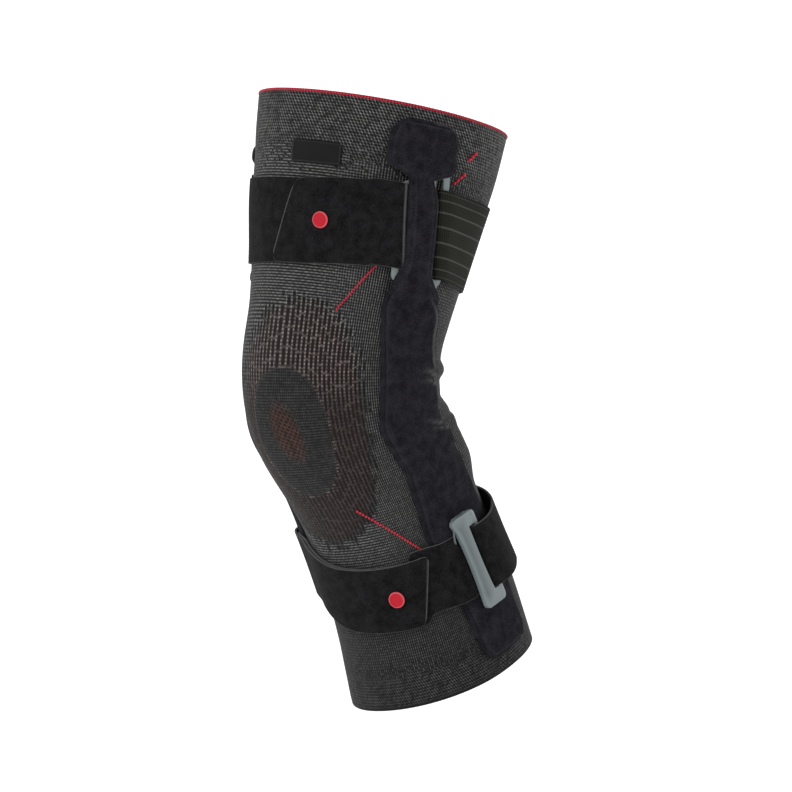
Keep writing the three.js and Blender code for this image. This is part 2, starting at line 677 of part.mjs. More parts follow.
// The elastic band is sewn round the rear rails of both upper loops and crosses the back.
function elastic() {
  const up = UPPER_LOOP_UP;
  const end = (side) => [
    nearLoop(side, TAIL_END, LAY, up),
    nearLoop(side, (TAIL_END + PAST_UPPER) / 2, (LAY + UPPER_PASS) / 2, up),
    nearLoop(side, PAST_UPPER, UPPER_PASS, up),
    ...roundRail(side, 1, UPPER_LOOP, up),
    nearLoop(side, PAST_UPPER, UPPER_OVER, up),
    nearLoop(side, TAIL_END + PAST_RAIL + RIB_HEIGHT, SECOND_LAY, up),
    nearLoop(side, TAIL_END + FOLD_SETTLE, LAY + RIB_HEIGHT, up),
  ];
  const shares = heights(0.2, 0.8, 0.04);
  const back = backLayer(shares.map((share) => ({ share, lift: LAY })), () => up);
  const path = [...end(1), ...back, ...end(-1).reverse().map(fromBack)];
  return ribbon(path, ELASTIC_WIDTH, ribLines, ribbedThickness);
}

// at: as in the upper strap's line. rise: share of the inner loop's extra height.
const LOWER_LINE = [
  { at: -1.0, rise: 1 },
  { at: -0.45, rise: 0.8 },
  { at: -0.1, rise: 0.04 },
  { at: 0.15, rise: -0.22 },
  { at: 0.5, rise: -0.3 },
  { at: 0.8, rise: -0.1 },
  { at: 1.0, rise: 0 },
];
const lowerLineUp = (share) =>
  LOWER_LOOP_UP + INNER_LOOP_RISE * read(LOWER_LINE, "rise", share);

// The lower strap is sewn round the inner loop's rear rail, crosses the back, goes through the
// outer loop, crosses the shin, turns round the inner loop's front rail and is pressed back on
// itself. share and lift: of the back layer, lift in strap layers above the knit.
const LOWER_BACK = [
  { share: 0.8, lift: 2.6 },
  { share: 0.73, lift: 1.4 },
  { share: 0.66, lift: 0.5 },
  { share: 0.6, lift: 0 },
  { share: 0.53, lift: 0 },
  { share: 0.46, lift: 0.2 },
  { share: 0.39, lift: 0.7 },
  { share: 0.33, lift: 1.4 },
  { share: 0.27, lift: 2.1 },
  { share: 0.2, lift: 3.2 },
];

function lowerStrap() {
  const inner = LOWER_LOOP_UP + INNER_LOOP_RISE;
  const outer = LOWER_LOOP_UP;
  const onPocket = POCKET_WIDTH / 2 - POCKET_BORDER; // edge of its padded middle
  const halfWay = (PAST_LOWER + onPocket) / 2;
  const clearOfPocket = POCKET_WIDTH / 2 + 2 * SETTLE;
  const [slotFront, slotRear] = LOWER_LOOP.slots[0];
  const sewn = [
    nearLoop(-1, onPocket, LOWER_PASS, inner),
    nearLoop(-1, PAST_LOWER, LOWER_PASS, inner),
    ...roundRail(-1, 1, LOWER_LOOP, inner),
    nearLoop(-1, PAST_LOWER, LOWER_OVER, inner),
  ].map(fromBack);
  const back = backLayer(
    LOWER_BACK.map(({ share, lift }) => ({ share, lift: LAY + lift * STRAP_LAYER })),
    (share) => mix(outer, inner, smooth(share * 1.4 - 0.2)),
  );
  const through = [
    nearLoop(1, PAST_LOWER, LOWER_OVER, outer),
    nearLoop(1, slotRear - SLOT_TURN, LOWER_OVER, outer),
    nearLoop(1, slotFront + SLOT_TURN, LOWER_PASS, outer),
    nearLoop(1, -PAST_LOWER, LOWER_PASS, outer),
    nearLoop(1, -halfWay, LOWER_PASS, outer),
    nearLoop(1, -onPocket - 2 * PAST_RAIL, LOWER_PASS, outer),
    nearLoop(1, -clearOfPocket, LAY, outer),
  ];
  const folded = [
    nearLoop(-1, -clearOfPocket, LAY, inner),
    nearLoop(-1, -onPocket - 2 * PAST_RAIL, LOWER_PASS, inner),
    nearLoop(-1, -halfWay, LOWER_PASS, inner),
    nearLoop(-1, -PAST_LOWER, LOWER_PASS, inner),
    ...roundRail(-1, -1, LOWER_LOOP, inner),
    nearLoop(-1, -PAST_LOWER, LOWER_OVER, inner),
    nearLoop(-1, -clearOfPocket, SECOND_LAY, inner),
  ];
  const shin = frontLayer(SHIN_REACH, -SHIN_REACH, LAY, lowerLineUp);
  const endShare = LOWER_END_TURN / sideTurn(1, outer);
  const free = frontLayer(-SHIN_REACH, endShare, SECOND_LAY, lowerLineUp);
  free.at(-1).slant = LOWER_END_SLANT;
  free.at(-2).slant = LOWER_END_SLANT * 0.6;
  return ribbon(
    [...sewn, ...back, ...through, ...shin, ...folded, ...free],
    LOWER_STRAP_WIDTH,
    heights(-1, 1, 0.5),
    evenThickness,
  );
}

// A low domed button with a rolled edge, its flat underside towards the strap.
function button(turn, up) {
  const radius = BUTTON_DIAMETER / 2;
  const profile = [
    [0, 0],
    [radius * 0.94, 0],
    [radius, BUTTON_HEIGHT * 0.3],
    [radius * 0.9, BUTTON_HEIGHT * 0.72],
    [radius * 0.55, BUTTON_HEIGHT * 0.95],
    [0, BUTTON_HEIGHT],
  ].map(([x, y]) => new THREE.Vector2(x, y));
  const geometry = new THREE.LatheGeometry(profile, 18);
  const foot = onLeg(turn, up, SECOND_LAY + STRAP_THICKNESS / 2 + GAP);
  const sideways = onLeg(turn + 1, up, 0).sub(onLeg(turn - 1, up, 0));
  const along = onLeg(turn, up + 1, 0).sub(onLeg(turn, up - 1, 0));
  const outward = sideways.cross(along).normalize();
  const upright = new THREE.Vector3(0, 1, 0);
  geometry.applyQuaternion(new THREE.Quaternion().setFromUnitVectors(upright, outward));
  return toGeometry(toSolid(geometry.translate(foot.x, foot.y, foot.z)));
}

// A bare woven patch with round corners, sewn on above the upper strap.
function label() {
  const middle = THIGH_LENGTH - LABEL_DROP;
  const columns = 5;
  const cut = LABEL_CORNER / LABEL_HEIGHT;
  const rows = [-0.5, cut - 0.5, 0, 0.5 - cut, 0.5];
  return sheet(rows.length, columns, (r, c, face) => {
    const up = middle + rows[r] * LABEL_HEIGHT;
    const drawnIn = r === 0 || r === rows.length - 1 ? LABEL_CORNER * 0.8 : 0;
    const distance = (LABEL_WIDTH / 2 - drawnIn) * mix(-1, 1, c / (columns - 1));
    return onLeg(turned(LABEL_TURN, up, distance), up, KNIT_GAP + face * LABEL_THICKNESS);
  });
}

const material = (color, roughness, metalness = 0) =>
  new THREE.MeshStandardMaterial({ color, roughness, metalness });
const KNIT = () => material(0x3a3a3a, 0.9);
const RED_YARN = () => material(0xb82a42, 0.75);
const VELOUR = () => material(0x17171a, 0.95);
const ELASTIC = () => material(0x25251f, 0.85);
const GREY_PLASTIC = () => material(0x6f7e80, 0.5);
const SPLINT_PLASTIC = () => material(0x2c2e30, 0.55);
const RED_PLASTIC = () => material(0xd0364a, 0.45);
const LABEL_CLOTH = () => material(0x26262a, 0.85);

const brace = new THREE.Group();

function add(name, geometry, finish) {
  const mesh = new THREE.Mesh(geometry, finish());
  mesh.name = name;
  brace.add(mesh);
}

add("knit_sleeve", sleeve(), KNIT);
add("top_hem", topHem(), RED_YARN);
add("label_patch", label(), LABEL_CLOTH);
for (const [name, side, lowerUp] of [
  ["outer", 1, LOWER_LOOP_UP],
  ["inner", -1, LOWER_LOOP_UP + INNER_LOOP_RISE],
]) {
  add(`${name}_pocket`, toGeometry(pocket(side, lowerUp)), VELOUR);
  add(`${name}_splint`, splint(side), SPLINT_PLASTIC);
  add(`upper_${name}_loop`, loopPlate(side, UPPER_LOOP, UPPER_LOOP_UP), GREY_PLASTIC);
  add(`lower_${name}_loop`, toGeometry(lowerLoop(side, lowerUp)), GREY_PLASTIC);
}
add("upper_strap", upperStrap(), VELOUR);
add("upper_elastic", elastic(), ELASTIC);
add("lower_strap", lowerStrap(), VELOUR);
const upperButtonUp = upperLineUp(UPPER_BUTTON_TURN / sideTurn(1, UPPER_LOOP_UP));
add("upper_button", button(UPPER_BUTTON_TURN, upperButtonUp), RED_PLASTIC);
const lowerButtonUp = lowerLineUp(LOWER_BUTTON_TURN / sideTurn(1, LOWER_LOOP_UP));
add("lower_button", button(LOWER_BUTTON_TURN, lowerButtonUp), RED_PLASTIC);

export default brace;
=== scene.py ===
import math
from collections import namedtuple

import bmesh
import bpy
import numpy as np
from mathutils import Matrix, Vector


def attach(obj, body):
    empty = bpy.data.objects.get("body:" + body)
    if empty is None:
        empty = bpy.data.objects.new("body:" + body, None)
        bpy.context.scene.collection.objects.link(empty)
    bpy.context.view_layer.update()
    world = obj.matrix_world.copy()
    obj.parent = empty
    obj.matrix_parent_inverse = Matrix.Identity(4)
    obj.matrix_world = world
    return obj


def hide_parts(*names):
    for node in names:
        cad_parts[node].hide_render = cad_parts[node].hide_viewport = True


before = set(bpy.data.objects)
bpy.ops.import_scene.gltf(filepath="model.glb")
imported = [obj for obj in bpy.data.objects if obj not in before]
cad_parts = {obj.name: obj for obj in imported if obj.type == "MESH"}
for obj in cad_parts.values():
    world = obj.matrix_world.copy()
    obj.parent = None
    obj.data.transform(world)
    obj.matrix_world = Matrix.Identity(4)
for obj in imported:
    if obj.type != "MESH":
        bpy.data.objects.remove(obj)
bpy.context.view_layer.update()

# A hinged knee brace on the space of a bent leg. Lengths are in millimetres until a piece's mesh
# is written, and turns in degrees: "turn" goes round the leg from the front to the outer side,
# "up" runs along the bent centre line from the knee, and "lift" is the height above the knit.

# The studio: a pale floor that curves up far away so that no horizon shows, soft lamps, and a
# camera five metres away, almost level and a little to the outer side of the front.
CAMERA_DISTANCE = 5.0
CAMERA_ROUND = math.radians(42)
CAMERA_ABOVE = math.radians(2)
METRES_PER_PIXEL = 0.000635
IMAGE_SIZE = 792
LOOKS_RIGHT_OF_KNEE = 0.034
FLOOR_DEPTH = -0.6
FLOOR_RADIUS = 9.0
FLOOR_CURVE = 2.5
BACKDROP_HEIGHT = 5.0

towards_camera = Vector((
    math.sin(CAMERA_ROUND) * math.cos(CAMERA_ABOVE),
    -math.cos(CAMERA_ROUND) * math.cos(CAMERA_ABOVE),
    math.sin(CAMERA_ABOVE),
))
rightwards = Vector((math.cos(CAMERA_ROUND), math.sin(CAMERA_ROUND), 0))


def added(name, data):
    """A new object in the scene."""
    made = bpy.data.objects.new(name, data)
    bpy.context.scene.collection.objects.link(made)
    return made


camera = added("camera", bpy.data.cameras.new("camera"))
camera.data.lens = camera.data.sensor_width * CAMERA_DISTANCE / (IMAGE_SIZE * METRES_PER_PIXEL)
camera.location = rightwards * LOOKS_RIGHT_OF_KNEE + towards_camera * CAMERA_DISTANCE
camera.rotation_euler = (-towards_camera).to_track_quat("-Z", "Y").to_euler()
bpy.context.scene.camera = camera
bpy.context.scene.view_settings.view_transform = "Standard"


def add_lamp(name, right, up, near, size, watts):
    """A square soft lamp, placed as seen from the camera, aimed at the knee."""
    lamp = added(name, bpy.data.lights.new(name, "AREA"))
    lamp.data.size = size
    lamp.data.energy = watts
    lamp.location = rightwards * right + Vector((0, 0, up)) + towards_camera * near
    lamp.rotation_euler = (-lamp.location).to_track_quat("-Z", "Y").to_euler()


add_lamp("key", -1.3, 1.5, 1.9, 0.7, 34)
add_lamp("fill", 1.7, 0.5, 1.7, 1.2, 5)
add_lamp("left_edge", -1.6, 0.5, -0.9, 0.8, 6)
add_lamp("right_edge", 1.6, 0.7, -0.9, 0.8, 8)

world = bpy.data.worlds.new("studio")
bpy.context.scene.world = world
world.use_nodes = True
background = world.node_tree.nodes["Background"]
background.inputs["Color"].default_value = (1, 1, 1, 1)
background.inputs["Strength"].default_value = 0.6


def lathed(profile, steps):
    """The surface that a profile of out and high makes when it goes round the upright axis."""
    swept = bmesh.new()
    verts = [swept.verts.new((out, 0, high)) for out, high in profile]
    edges = [swept.edges.new(pair) for pair in zip(verts, verts[1:])]
    bmesh.ops.spin(
        swept, geom=verts + edges, cent=(0, 0, 0), axis=(0, 0, 1), dvec=(0, 0, 0),
        angle=2 * math.pi, steps=steps, use_merge=True, use_duplicate=False,
    )
    bmesh.ops.remove_doubles(swept, verts=swept.verts, dist=1e-5)
    return swept


floor_rim = [(0, FLOOR_DEPTH)]
for step in range(9):
    angle = math.pi / 2 * step / 8
    out = FLOOR_RADIUS + FLOOR_CURVE * math.sin(angle)
    floor_rim.append((out, FLOOR_DEPTH + FLOOR_CURVE * (1 - math.cos(angle))))
floor_rim.append((FLOOR_RADIUS + FLOOR_CURVE, FLOOR_DEPTH + BACKDROP_HEIGHT))
bm = lathed(floor_rim, 96)
floor_mesh = bpy.data.meshes.new("floor")
bm.to_mesh(floor_mesh)
bm.free()
floor_mesh.shade_smooth()
floor = added("floor", floor_mesh)
floor_paper = bpy.data.materials.new("floor_paper")
floor_paper.use_nodes = True
paper = floor_paper.node_tree.nodes["Principled BSDF"]
paper.inputs["Base Color"].default_value = (0.9, 0.9, 0.9, 1)
paper.inputs["Roughness"].default_value = 0.9
paper.inputs["Emission Color"].default_value = (1, 1, 1, 1)
paper.inputs["Emission Strength"].default_value = 0.45
floor_mesh.materials.append(floor_paper)

# The knitted sleeve: one seamless tube of flat-knitted stretch yarn, shaped to a bent leg. It is
# knitted open in bands of small holes at both ends, in long ladder holes round the kneecap and in
# a fine net over it, and it gathers into soft folds at the back of the knee.
THIGH_LENGTH = 181
CALF_LENGTH = 194
THIGH_LEAN = math.radians(11.5)
CALF_LEAN = math.radians(-23)
THIGH_SPREAD = math.radians(2.6)
CALF_SPREAD = math.radians(-6)
BEND_LENGTH = 100
KNEE_HALF_WIDTH = 60
KNEE_FRONT = 56
KNEE_BACK = 54
LEG_FLAT_TURN = -52  # turn of the middle of the flatter part, on the inner side of the front
LEG_FLAT_WIDTH = 34
KNIT_WALL = 2.4
SLEEVE_COLUMNS = 216
SLEEVE_ROWS = 176
FOLD_HEIGHT = 3
FOLD_SPACING = 14
FOLD_REACH = 75
CALF_BULGE = 5
LADDER_DEPTH = 0.7
WALES = 230  # lengthwise lines of stitches, all the way round
COURSE = 1.8  # height of one row of stitches
NET_TURN = 1.75  # turn from one hole of the net bands to the next
NET_HEIGHT = 1.9
LADDER_TURN = 3
UV_HEIGHT = 400  # the height that the sleeve's UV map covers, with the knee at its middle


def table(names, rows):
    """A table's columns by name, as arrays."""
    return dict(zip(names.split(), np.array(rows, float).T))


# at: share of the thigh's length above the knee and of the calf's below it.
# width, front, back: shares of the knee's. square: 2 is an ellipse, more is squarer.
LEG_SECTIONS = table("at width front back square", [
    (-1.0, 1.0, 0.91, 1.3, 2.1),
    (-0.77, 0.97, 0.78, 1.39, 2.1),
    (-0.59, 0.95, 0.7, 1.35, 2.15),
    (-0.41, 0.95, 0.7, 1.3, 2.2),
    (-0.23, 0.97, 0.82, 1.19, 2.25),
    (-0.08, 1.0, 0.98, 1.08, 2.3),
    (0.08, 1.02, 1.035, 1.05, 2.35),
    (0.25, 1.07, 1.02, 1.08, 2.3),
    (0.44, 1.15, 1.11, 1.19, 2.2),
    (0.635, 1.23, 1.25, 1.31, 2.15),
    (0.83, 1.27, 1.34, 1.49, 2.1),
    (1.0, 1.27, 1.39, 1.59, 2.1),
])
# place: in fold spacings above the knee. side: where it is highest, from the back outwards.
BACK_FOLDS = table("place height side", [
    (2.2, 0.45, 30),
    (1.1, 1.0, -40),
    (0.1, 0.5, 20),
    (-1.1, 0.8, -30),
    (-2.3, 0.5, 15),
])
# How much flatter the inner side of the leg's front is, at heights from the knee.
LEG_FLAT = table("at deep", [
    (-190, 0),
    (-172, 1),
    (-150, 2.2),
    (-100, 3.4),
    (-72, 3.6),
    (-52, 2.8),
    (-32, 0.6),
    (0, -0.8),
    (30, 0.6),
    (50, 2.2),
    (138, 2.4),
    (160, 1),
    (180, 0),
])
# Ovals round the kneecap: turn and up of the middle, half turn and height, skew.
LADDER_OVAL = (5, -15, 52, 70, 8)
KNEECAP_OVAL = (2, -14, 27, 33)
NET_OVAL = (0, -13, 10, 17, -3)


def read(ats, values, at):
    """Smooth reading of values between the rows, which rise in ats."""
    row = np.arange(len(ats))
    low, high = np.maximum(row - 1, 0), np.minimum(row + 1, len(ats) - 1)
    ones = (1,) * (values.ndim - 1)
    slopes = (values[high] - values[low]) / (ats[high] - ats[low]).reshape(-1, *ones)
    at = np.asarray(at, float)
    i = np.searchsorted(ats[1:-1], at)
    span = (ats[i + 1] - ats[i]).reshape(at.shape + ones)
    t = np.clip((at - ats[i]).reshape(at.shape + ones) / span, 0, 1)
    rise = values[i + 1] - values[i]
    start, end = slopes[i] * span, slopes[i + 1] * span
    return values[i] + start * t + (3 * rise - 2 * start - end) * t**2 + (start + end - 2 * rise) * t**3


def column(rows, name, at):
    return read(rows["at"], rows[name], at)


def smooth(x):
    t = np.clip(x, 0, 1)
    return t * t * (3 - 2 * t)


def bump(away, width):
    """1 at no distance away, and fading to 0 over about twice the width."""
    return np.exp(-((away / width) ** 2))


def share_of(up):
    return up / np.where(up > 0, THIGH_LENGTH, CALF_LENGTH)


def bent(up, below, above):
    """A line that runs straight, in an arc through the knee, and straight: how far it has gone
    across and along after "up", and its tilt there."""
    half = BEND_LENGTH / 2
    rate = (above - below) / BEND_LENGTH
    in_arc = np.clip(up, -half, half)
    knee_tilt = below + rate * half
    tilt = below + rate * (in_arc + half)
    across = (math.cos(knee_tilt) - np.cos(tilt)) / rate + (up - in_arc) * np.sin(tilt)
    along = (np.sin(tilt) - math.sin(knee_tilt)) / rate + (up - in_arc) * np.cos(tilt)
    return across, along, tilt


def on_leg(turn, up, lift=0.0):
    """Points of the knit's outer surface, lifted off it, as rows of x, y and z."""
    turn, up, lift = np.broadcast_arrays(turn, up, lift)
    round_flat = (turn - LEG_FLAT_TURN + 180) % 360 - 180
    lift = lift - column(LEG_FLAT, "deep", up) * bump(round_flat, LEG_FLAT_WIDTH)
    at = share_of(up)
    lean_across, lean_along, lean = bent(up, CALF_LEAN, THIGH_LEAN)
    spread_across, _, spread = bent(up, CALF_SPREAD, THIGH_SPREAD)
    square = column(LEG_SECTIONS, "square", at)
    half_width = KNEE_HALF_WIDTH * column(LEG_SECTIONS, "width", at)
    s, c = np.sin(np.radians(turn)), np.cos(np.radians(turn))
    forward = KNEE_FRONT * column(LEG_SECTIONS, "front", at)
    rearward = KNEE_BACK * column(LEG_SECTIONS, "back", at)
    depth = np.where(c >= 0, forward, rearward)
    side = half_width * np.sign(s) * np.abs(s) ** (2 / square)
    front = depth * np.sign(c) * np.abs(c) ** (2 / square)
    out_side = np.sign(side) * np.abs(side / half_width) ** (square - 1) / half_width
    out_front = np.sign(front) * np.abs(front / depth) ** (square - 1) / depth
    size = np.hypot(out_side, out_front)
    side = side + lift * out_side / size
    front = front + lift * out_front / size
    return np.stack([
        spread_across + side * np.cos(spread),
        lean_across - side * np.sin(spread) * np.sin(lean) - front * np.cos(lean),
        lean_along - side * np.sin(spread) * np.cos(lean) + front * np.sin(lean),
    ], axis=-1)


def turned(turn, up, distance):
    """The turn that is reached by going a distance round the leg from another turn."""
    steps = 6
    for _ in range(steps):
        there = on_leg(turn + 1, up) - on_leg(turn - 1, up)
        turn = turn + distance / steps * 2 / np.linalg.norm(there, axis=-1)
    return turn


def new_sheet(columns, rows):
    """A flat sheet of cells, one by one, with its lower left corner at 0, 0 and a UV map alike."""
    sheet = bmesh.new()
    sheet.loops.layers.uv.new("UVMap")
    bmesh.ops.create_grid(sheet, x_segments=columns, y_segments=rows, size=0.5, calc_uvs=True)
    bmesh.ops.translate(sheet, verts=sheet.verts, vec=(0.5, 0.5, 0))
    return sheet


def shape(sheet, place):
    """Moves each vertex from its place on the flat sheet to place(x, y, z), all in one go."""
    flat = np.array([vert.co for vert in sheet.verts])
    for vert, spot in zip(sheet.verts, place(*flat.T)):
        vert.co = spot


def mark_highlight(sheet, values):
    """Says how much painted highlight each vertex has, for its finish to show."""
    layer = sheet.verts.layers.float.new("painted_highlight")
    for vert, value in zip(sheet.verts, values):
        vert[layer] = float(value)


def finished(name, sheet, material, *nodes, slot=None):
    """Makes the piece's object from a mesh in millimetres and ties it to the frame."""
    bmesh.ops.scale(sheet, vec=(0.001,) * 3, verts=sheet.verts)
    mesh = bpy.data.meshes.new(name)
    sheet.to_mesh(mesh)
    sheet.free()
    mesh.shade_smooth()
    mesh.materials.append(material)
    piece = added(name, mesh)
    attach(piece, "root")
    if nodes:
        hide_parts(*nodes)
    return piece


def give_wall(piece, thickness, offset=-1.0):
    wall = piece.modifiers.new("wall", "SOLIDIFY")
    wall.thickness = thickness / 1000
    wall.offset = offset
    wall.use_even_offset = False


class Signal:
    """A shader socket that works in sums as a number does."""

    def __init__(self, finish, socket):
        self.finish = finish
        self.socket = socket

    def maths(self, operation, *others):
        return self.finish.node("ShaderNodeMath", {"operation": operation}, [self, *others])

    def __add__(self, other):
        return self.maths("ADD", other)

    def __sub__(self, other):
        return self.maths("SUBTRACT", other)

    def __rsub__(self, other):
        return self.maths("MULTIPLY", -1.0).maths("ADD", other)

    def __mul__(self, other):
        return self.maths("MULTIPLY", other)

    def __truediv__(self, other):
        return self.maths("DIVIDE", other)

    def __pow__(self, other):
        return self.maths("POWER", other)

    def __abs__(self):
        return self.maths("ABSOLUTE")

    __radd__ = __add__
    __rmul__ = __mul__


class Finish:
    """A surface finish: a Principled shader, and the nodes that feed it."""

    def __init__(self, name, **constants):
        self.material = bpy.data.materials.new(name)
        self.material.use_nodes = True
        self.tree = self.material.node_tree
        self.shader = self.tree.nodes["Principled BSDF"]
        for words, value in constants.items():
            label = words.replace("_", " ").title().replace("Ior", "IOR")
            self.shader.inputs[label].default_value = value

    def node(self, kind, settings=None, inputs=(), output=0):
        made = self.tree.nodes.new(kind)
        for name, value in (settings or {}).items():
            setattr(made, name, value)
        for key, value in (inputs.items() if isinstance(inputs, dict) else enumerate(inputs)):
            self.feed(made.inputs[key], value)
        return Signal(self, made.outputs[output])

    def feed(self, socket, value):
        if isinstance(value, Signal):
            self.tree.links.new(value.socket, socket)
        else:
            socket.default_value = value

    def uv(self):
        place = self.node("ShaderNodeTexCoord", output="UV")
        return [self.node("ShaderNodeSeparateXYZ", inputs=[place], output=axis) for axis in "XY"]

    def at(self, x, y, z=0.0):
        return self.node("ShaderNodeCombineXYZ", inputs=[x, y, z])

    def object_place(self):
        return self.node("ShaderNodeTexCoord", output="Object")

    # How much painted highlight each vertex was given.
    def painted_highlight(self):
        return self.node("ShaderNodeAttribute", {"attribute_name": "painted_highlight"}, output="Fac")

    def noise(self, place, scale, detail=3.0, roughness=0.5):
        words = {"Vector": place, "Scale": scale, "Detail": detail, "Roughness": roughness}
        return self.node("ShaderNodeTexNoise", inputs=words, output="Fac")

    def chance(self, x, y):
        """A value from 0 to 1 that is the same all over a cell."""
        return self.node("ShaderNodeTexWhiteNoise", {"noise_dimensions": "2D"}, {"Vector": self.at(x, y)})

    def step(self, value, low, high):
        """0 up to low, 1 from high, and smooth between."""
        words = [value, float(low), float(high), 0.0, 1.0]
        return self.node("ShaderNodeMapRange", {"interpolation_type": "SMOOTHSTEP"}, words)

    def blend(self, share, low, high):
        """A colour from low to high."""
        low, high = [c if isinstance(c, Signal) else (*c, 1.0) for c in (low, high)]
        return self.node("ShaderNodeMix", {"data_type": "RGBA"}, {0: share, 6: low, 7: high}, output=2)

    def paint(self, color=None, roughness=None, height=None, depth=0.001, strength=1.0):
        if color:
            self.feed(self.shader.inputs["Base Color"], color)
        if roughness:
            self.feed(self.shader.inputs["Roughness"], roughness)
        if height:
            words = {"Height": height, "Distance": depth, "Strength": strength}
            bumpy = self.node("ShaderNodeBump", inputs=words, output="Normal")
            self.feed(self.shader.inputs["Normal"], bumpy)
        return self.material


def fraction(value):
    return value.maths("FRACT")


def whole(value):
    return value.maths("FLOOR")


def line(value):
    """1 along the middle of each step of the value and 0 between, as round as a yarn."""
    return ((fraction(value) - 0.5) * (2 * math.pi)).maths("COSINE") * 0.5 + 0.5


def between(share, low, high):
    return low * (1 - share) + high * share


def oval(turn, up, middle_turn, middle_up, half_turn, half_up, skew=0.0):
    """How far out a place lies in an oval: 0 at its middle and 1 on its edge. The turn and the
    height are signals or arrays."""
    over = (up - middle_up) / half_up
    beside = (turn - middle_turn - over * skew) / half_turn
    return (beside * beside + over * over) ** 0.5


def knit_finish():
    knit = Finish("stretch_knit", roughness=0.7, specular_ior_level=0.1)
    u, v = knit.uv()
    turn = (u - 0.5) * 360
    up = (v - 0.5) * UV_HEIGHT
    wales = turn * (WALES / 360)
    courses = up / COURSE
    row = whole(courses)
    patchy = knit.noise(knit.at(u * 9, v * 7), 1.0, 3.0)
    ragged = (patchy - 0.5) * 14
    glint = knit.chance(whole(wales), row)

    # Plain knit: level rows of short stitches in front, upright lines of beads towards the pockets.
    # low marks the calf, which is knitted in beads and darkened with painted shade.
    low = knit.step(up * -1, 70, 130)
    to_side = knit.step(abs(turn), 12, 52).maths("MAXIMUM", low)
    level, upright = line(courses), line(wales)
    dashes = level**2 * (line(wales * 0.5 + row * 0.5) * 0.5 + 0.5) * 1.15
    beads = upright**2.2 * (level * 0.75 + 0.25)
    plain = between(to_side, dashes, beads) * (glint * 0.6 + 0.4) * (1 - low * 0.55)

    # Net bands at both ends: rows of small slanted holes, which thin out towards the knee.
    cell_turn, cell_up = turn / NET_TURN, up / NET_HEIGHT
    net_row = whole(cell_up)
    cell = cell_turn + net_row * 0.5
    across, above = fraction(cell) - 0.5, fraction(cell_up) - 0.5
    slant = across + above * 0.55
    thread = knit.step((slant * slant * 3.6 + above * above * 3.0) ** 0.5, 0.58, 0.95)
    top_share = knit.step(up + ragged, 128, 164)
    foot_share = knit.step(up * -1 + ragged, 162, 182)
    net_share = top_share.maths("MAXIMUM", foot_share)
    there = knit.chance(whole(cell), net_row)
    open_cell = knit.step(net_share - there * 0.85, -0.02, 0.04)
    # The net band at the foot is darkened with the same painted shade.
    net = thread**1.8 * (there * 0.75 + 0.1) * (1 - low * 0.6)
    light = between(open_cell, plain, net)

    # Ladder holes round the kneecap: columns of long dark slots with threads across.
    outer = oval(turn, up, *LADDER_OVAL)
    inner = oval(turn, up, *KNEECAP_OVAL)
    ladder = turn / LADDER_TURN
    edge = (knit.chance(whole(ladder), whole(up / 6)) - 0.5) * 0.13
    ring = knit.step(outer + edge, 1.02, 0.97) * knit.step(inner + edge, 0.97, 1.03)
    shift = knit.chance(whole(ladder), 3.0)
    high_knee_highlit = knit.step(up, -8, 26)
    rung = fraction(up / 10 * (shift * 0.6 + 0.8) + shift * 7)
    from_slot = abs(fraction(ladder) - 0.5) + (1 - high_knee_highlit) * 0.06
    slot_side = 1 - knit.step(from_slot, 0.24, 0.42)
    slot_end = knit.step(abs(rung - 0.5), 0.475, 0.4)
    # Painted highlight: the beads and ribs high on the knee are drawn brighter than those lower down.
    bead = level * (high_knee_highlit * 0.6 + 0.3) + 0.2
    rib = between(slot_side, bead, (1 - slot_end) * 0.28)
    rib = rib * (glint * 0.8 + 0.3) * (high_knee_highlit * 0.56 + 0.36)
    light = between(ring, light, rib)

    # Over the kneecap the knit is finer and darker, with a net at its middle that shows a warm tint.
    calm = knit.step(inner, 1.05, 0.96)
    fine = line(wales * 1.4) * line(courses * 1.3) * (glint * 0.22 + 0.08) + 0.01
    light = between(calm, light, fine)
    patch = knit.step(oval(turn, up, *NET_OVAL) + ragged * 0.03, 1.1, 0.6)
    mesh_row = up / 1.9 + turn * 0.22
    stitch = turn / 2.2 + whole(mesh_row) * 0.5
    mesh_side = knit.step(abs(fraction(stitch) - 0.5), 0.46, 0.2)
    mesh = mesh_side * knit.step(abs(fraction(mesh_row) - 0.5), 0.44, 0.2)
    light = between(patch, light, (1 - mesh) * (glint * 0.26 + 0.12))

    yarn = knit.blend(light * (patchy * 0.5 + 0.75), (0.004, 0.004, 0.0043), (0.17, 0.17, 0.166))
    brown = knit.blend(light, (0.008, 0.005, 0.0048), (0.2, 0.168, 0.16))
    warm = knit.step(outer, 1.0, 0.85) * (1 - calm)
    yarn = knit.blend(warm, yarn, brown)
    tinted = knit.blend(light, (0.009, 0.0045, 0.004), (0.12, 0.064, 0.05))
    yarn = knit.blend(patch, yarn, tinted)
    fade = knit.step(up * -1, CALF_LENGTH - 2.6, CALF_LENGTH - 1.2)
    colour = knit.blend(fade, yarn, (0.006, 0.006, 0.006))
    return knit.paint(colour, height=light, depth=0.0007, strength=0.8)


def fold_lift(turn, up):
    """How far the knit stands up in its folds at the back of the knee."""
    lift = np.zeros_like(up)
    fade = smooth((np.abs(turn) - 100) / 26)
    for place, height, side in zip(*BACK_FOLDS.values()):
        middle = place + 0.12 * np.sin(np.radians(3 * turn + 90 * place))
        away = np.clip(np.abs(up / FOLD_SPACING - middle) / 0.68, 0, 1)
        aside = np.clip(np.abs((turn - side + 360) % 360 - 180) / FOLD_REACH, 0, 1)
        lift = np.maximum(lift, height * np.cos(away * np.pi / 2) ** 1.2 * (1 - aside**2))
    return lift * fade * FOLD_HEIGHT


def calf_lift(turn, up):
    """The top of the calf fills the knit out behind the pockets."""
    behind = smooth((np.abs(turn) - 112) / 20)
    return CALF_BULGE * behind * smooth((-12 - up) / 20) * smooth((up + 88) / 26)


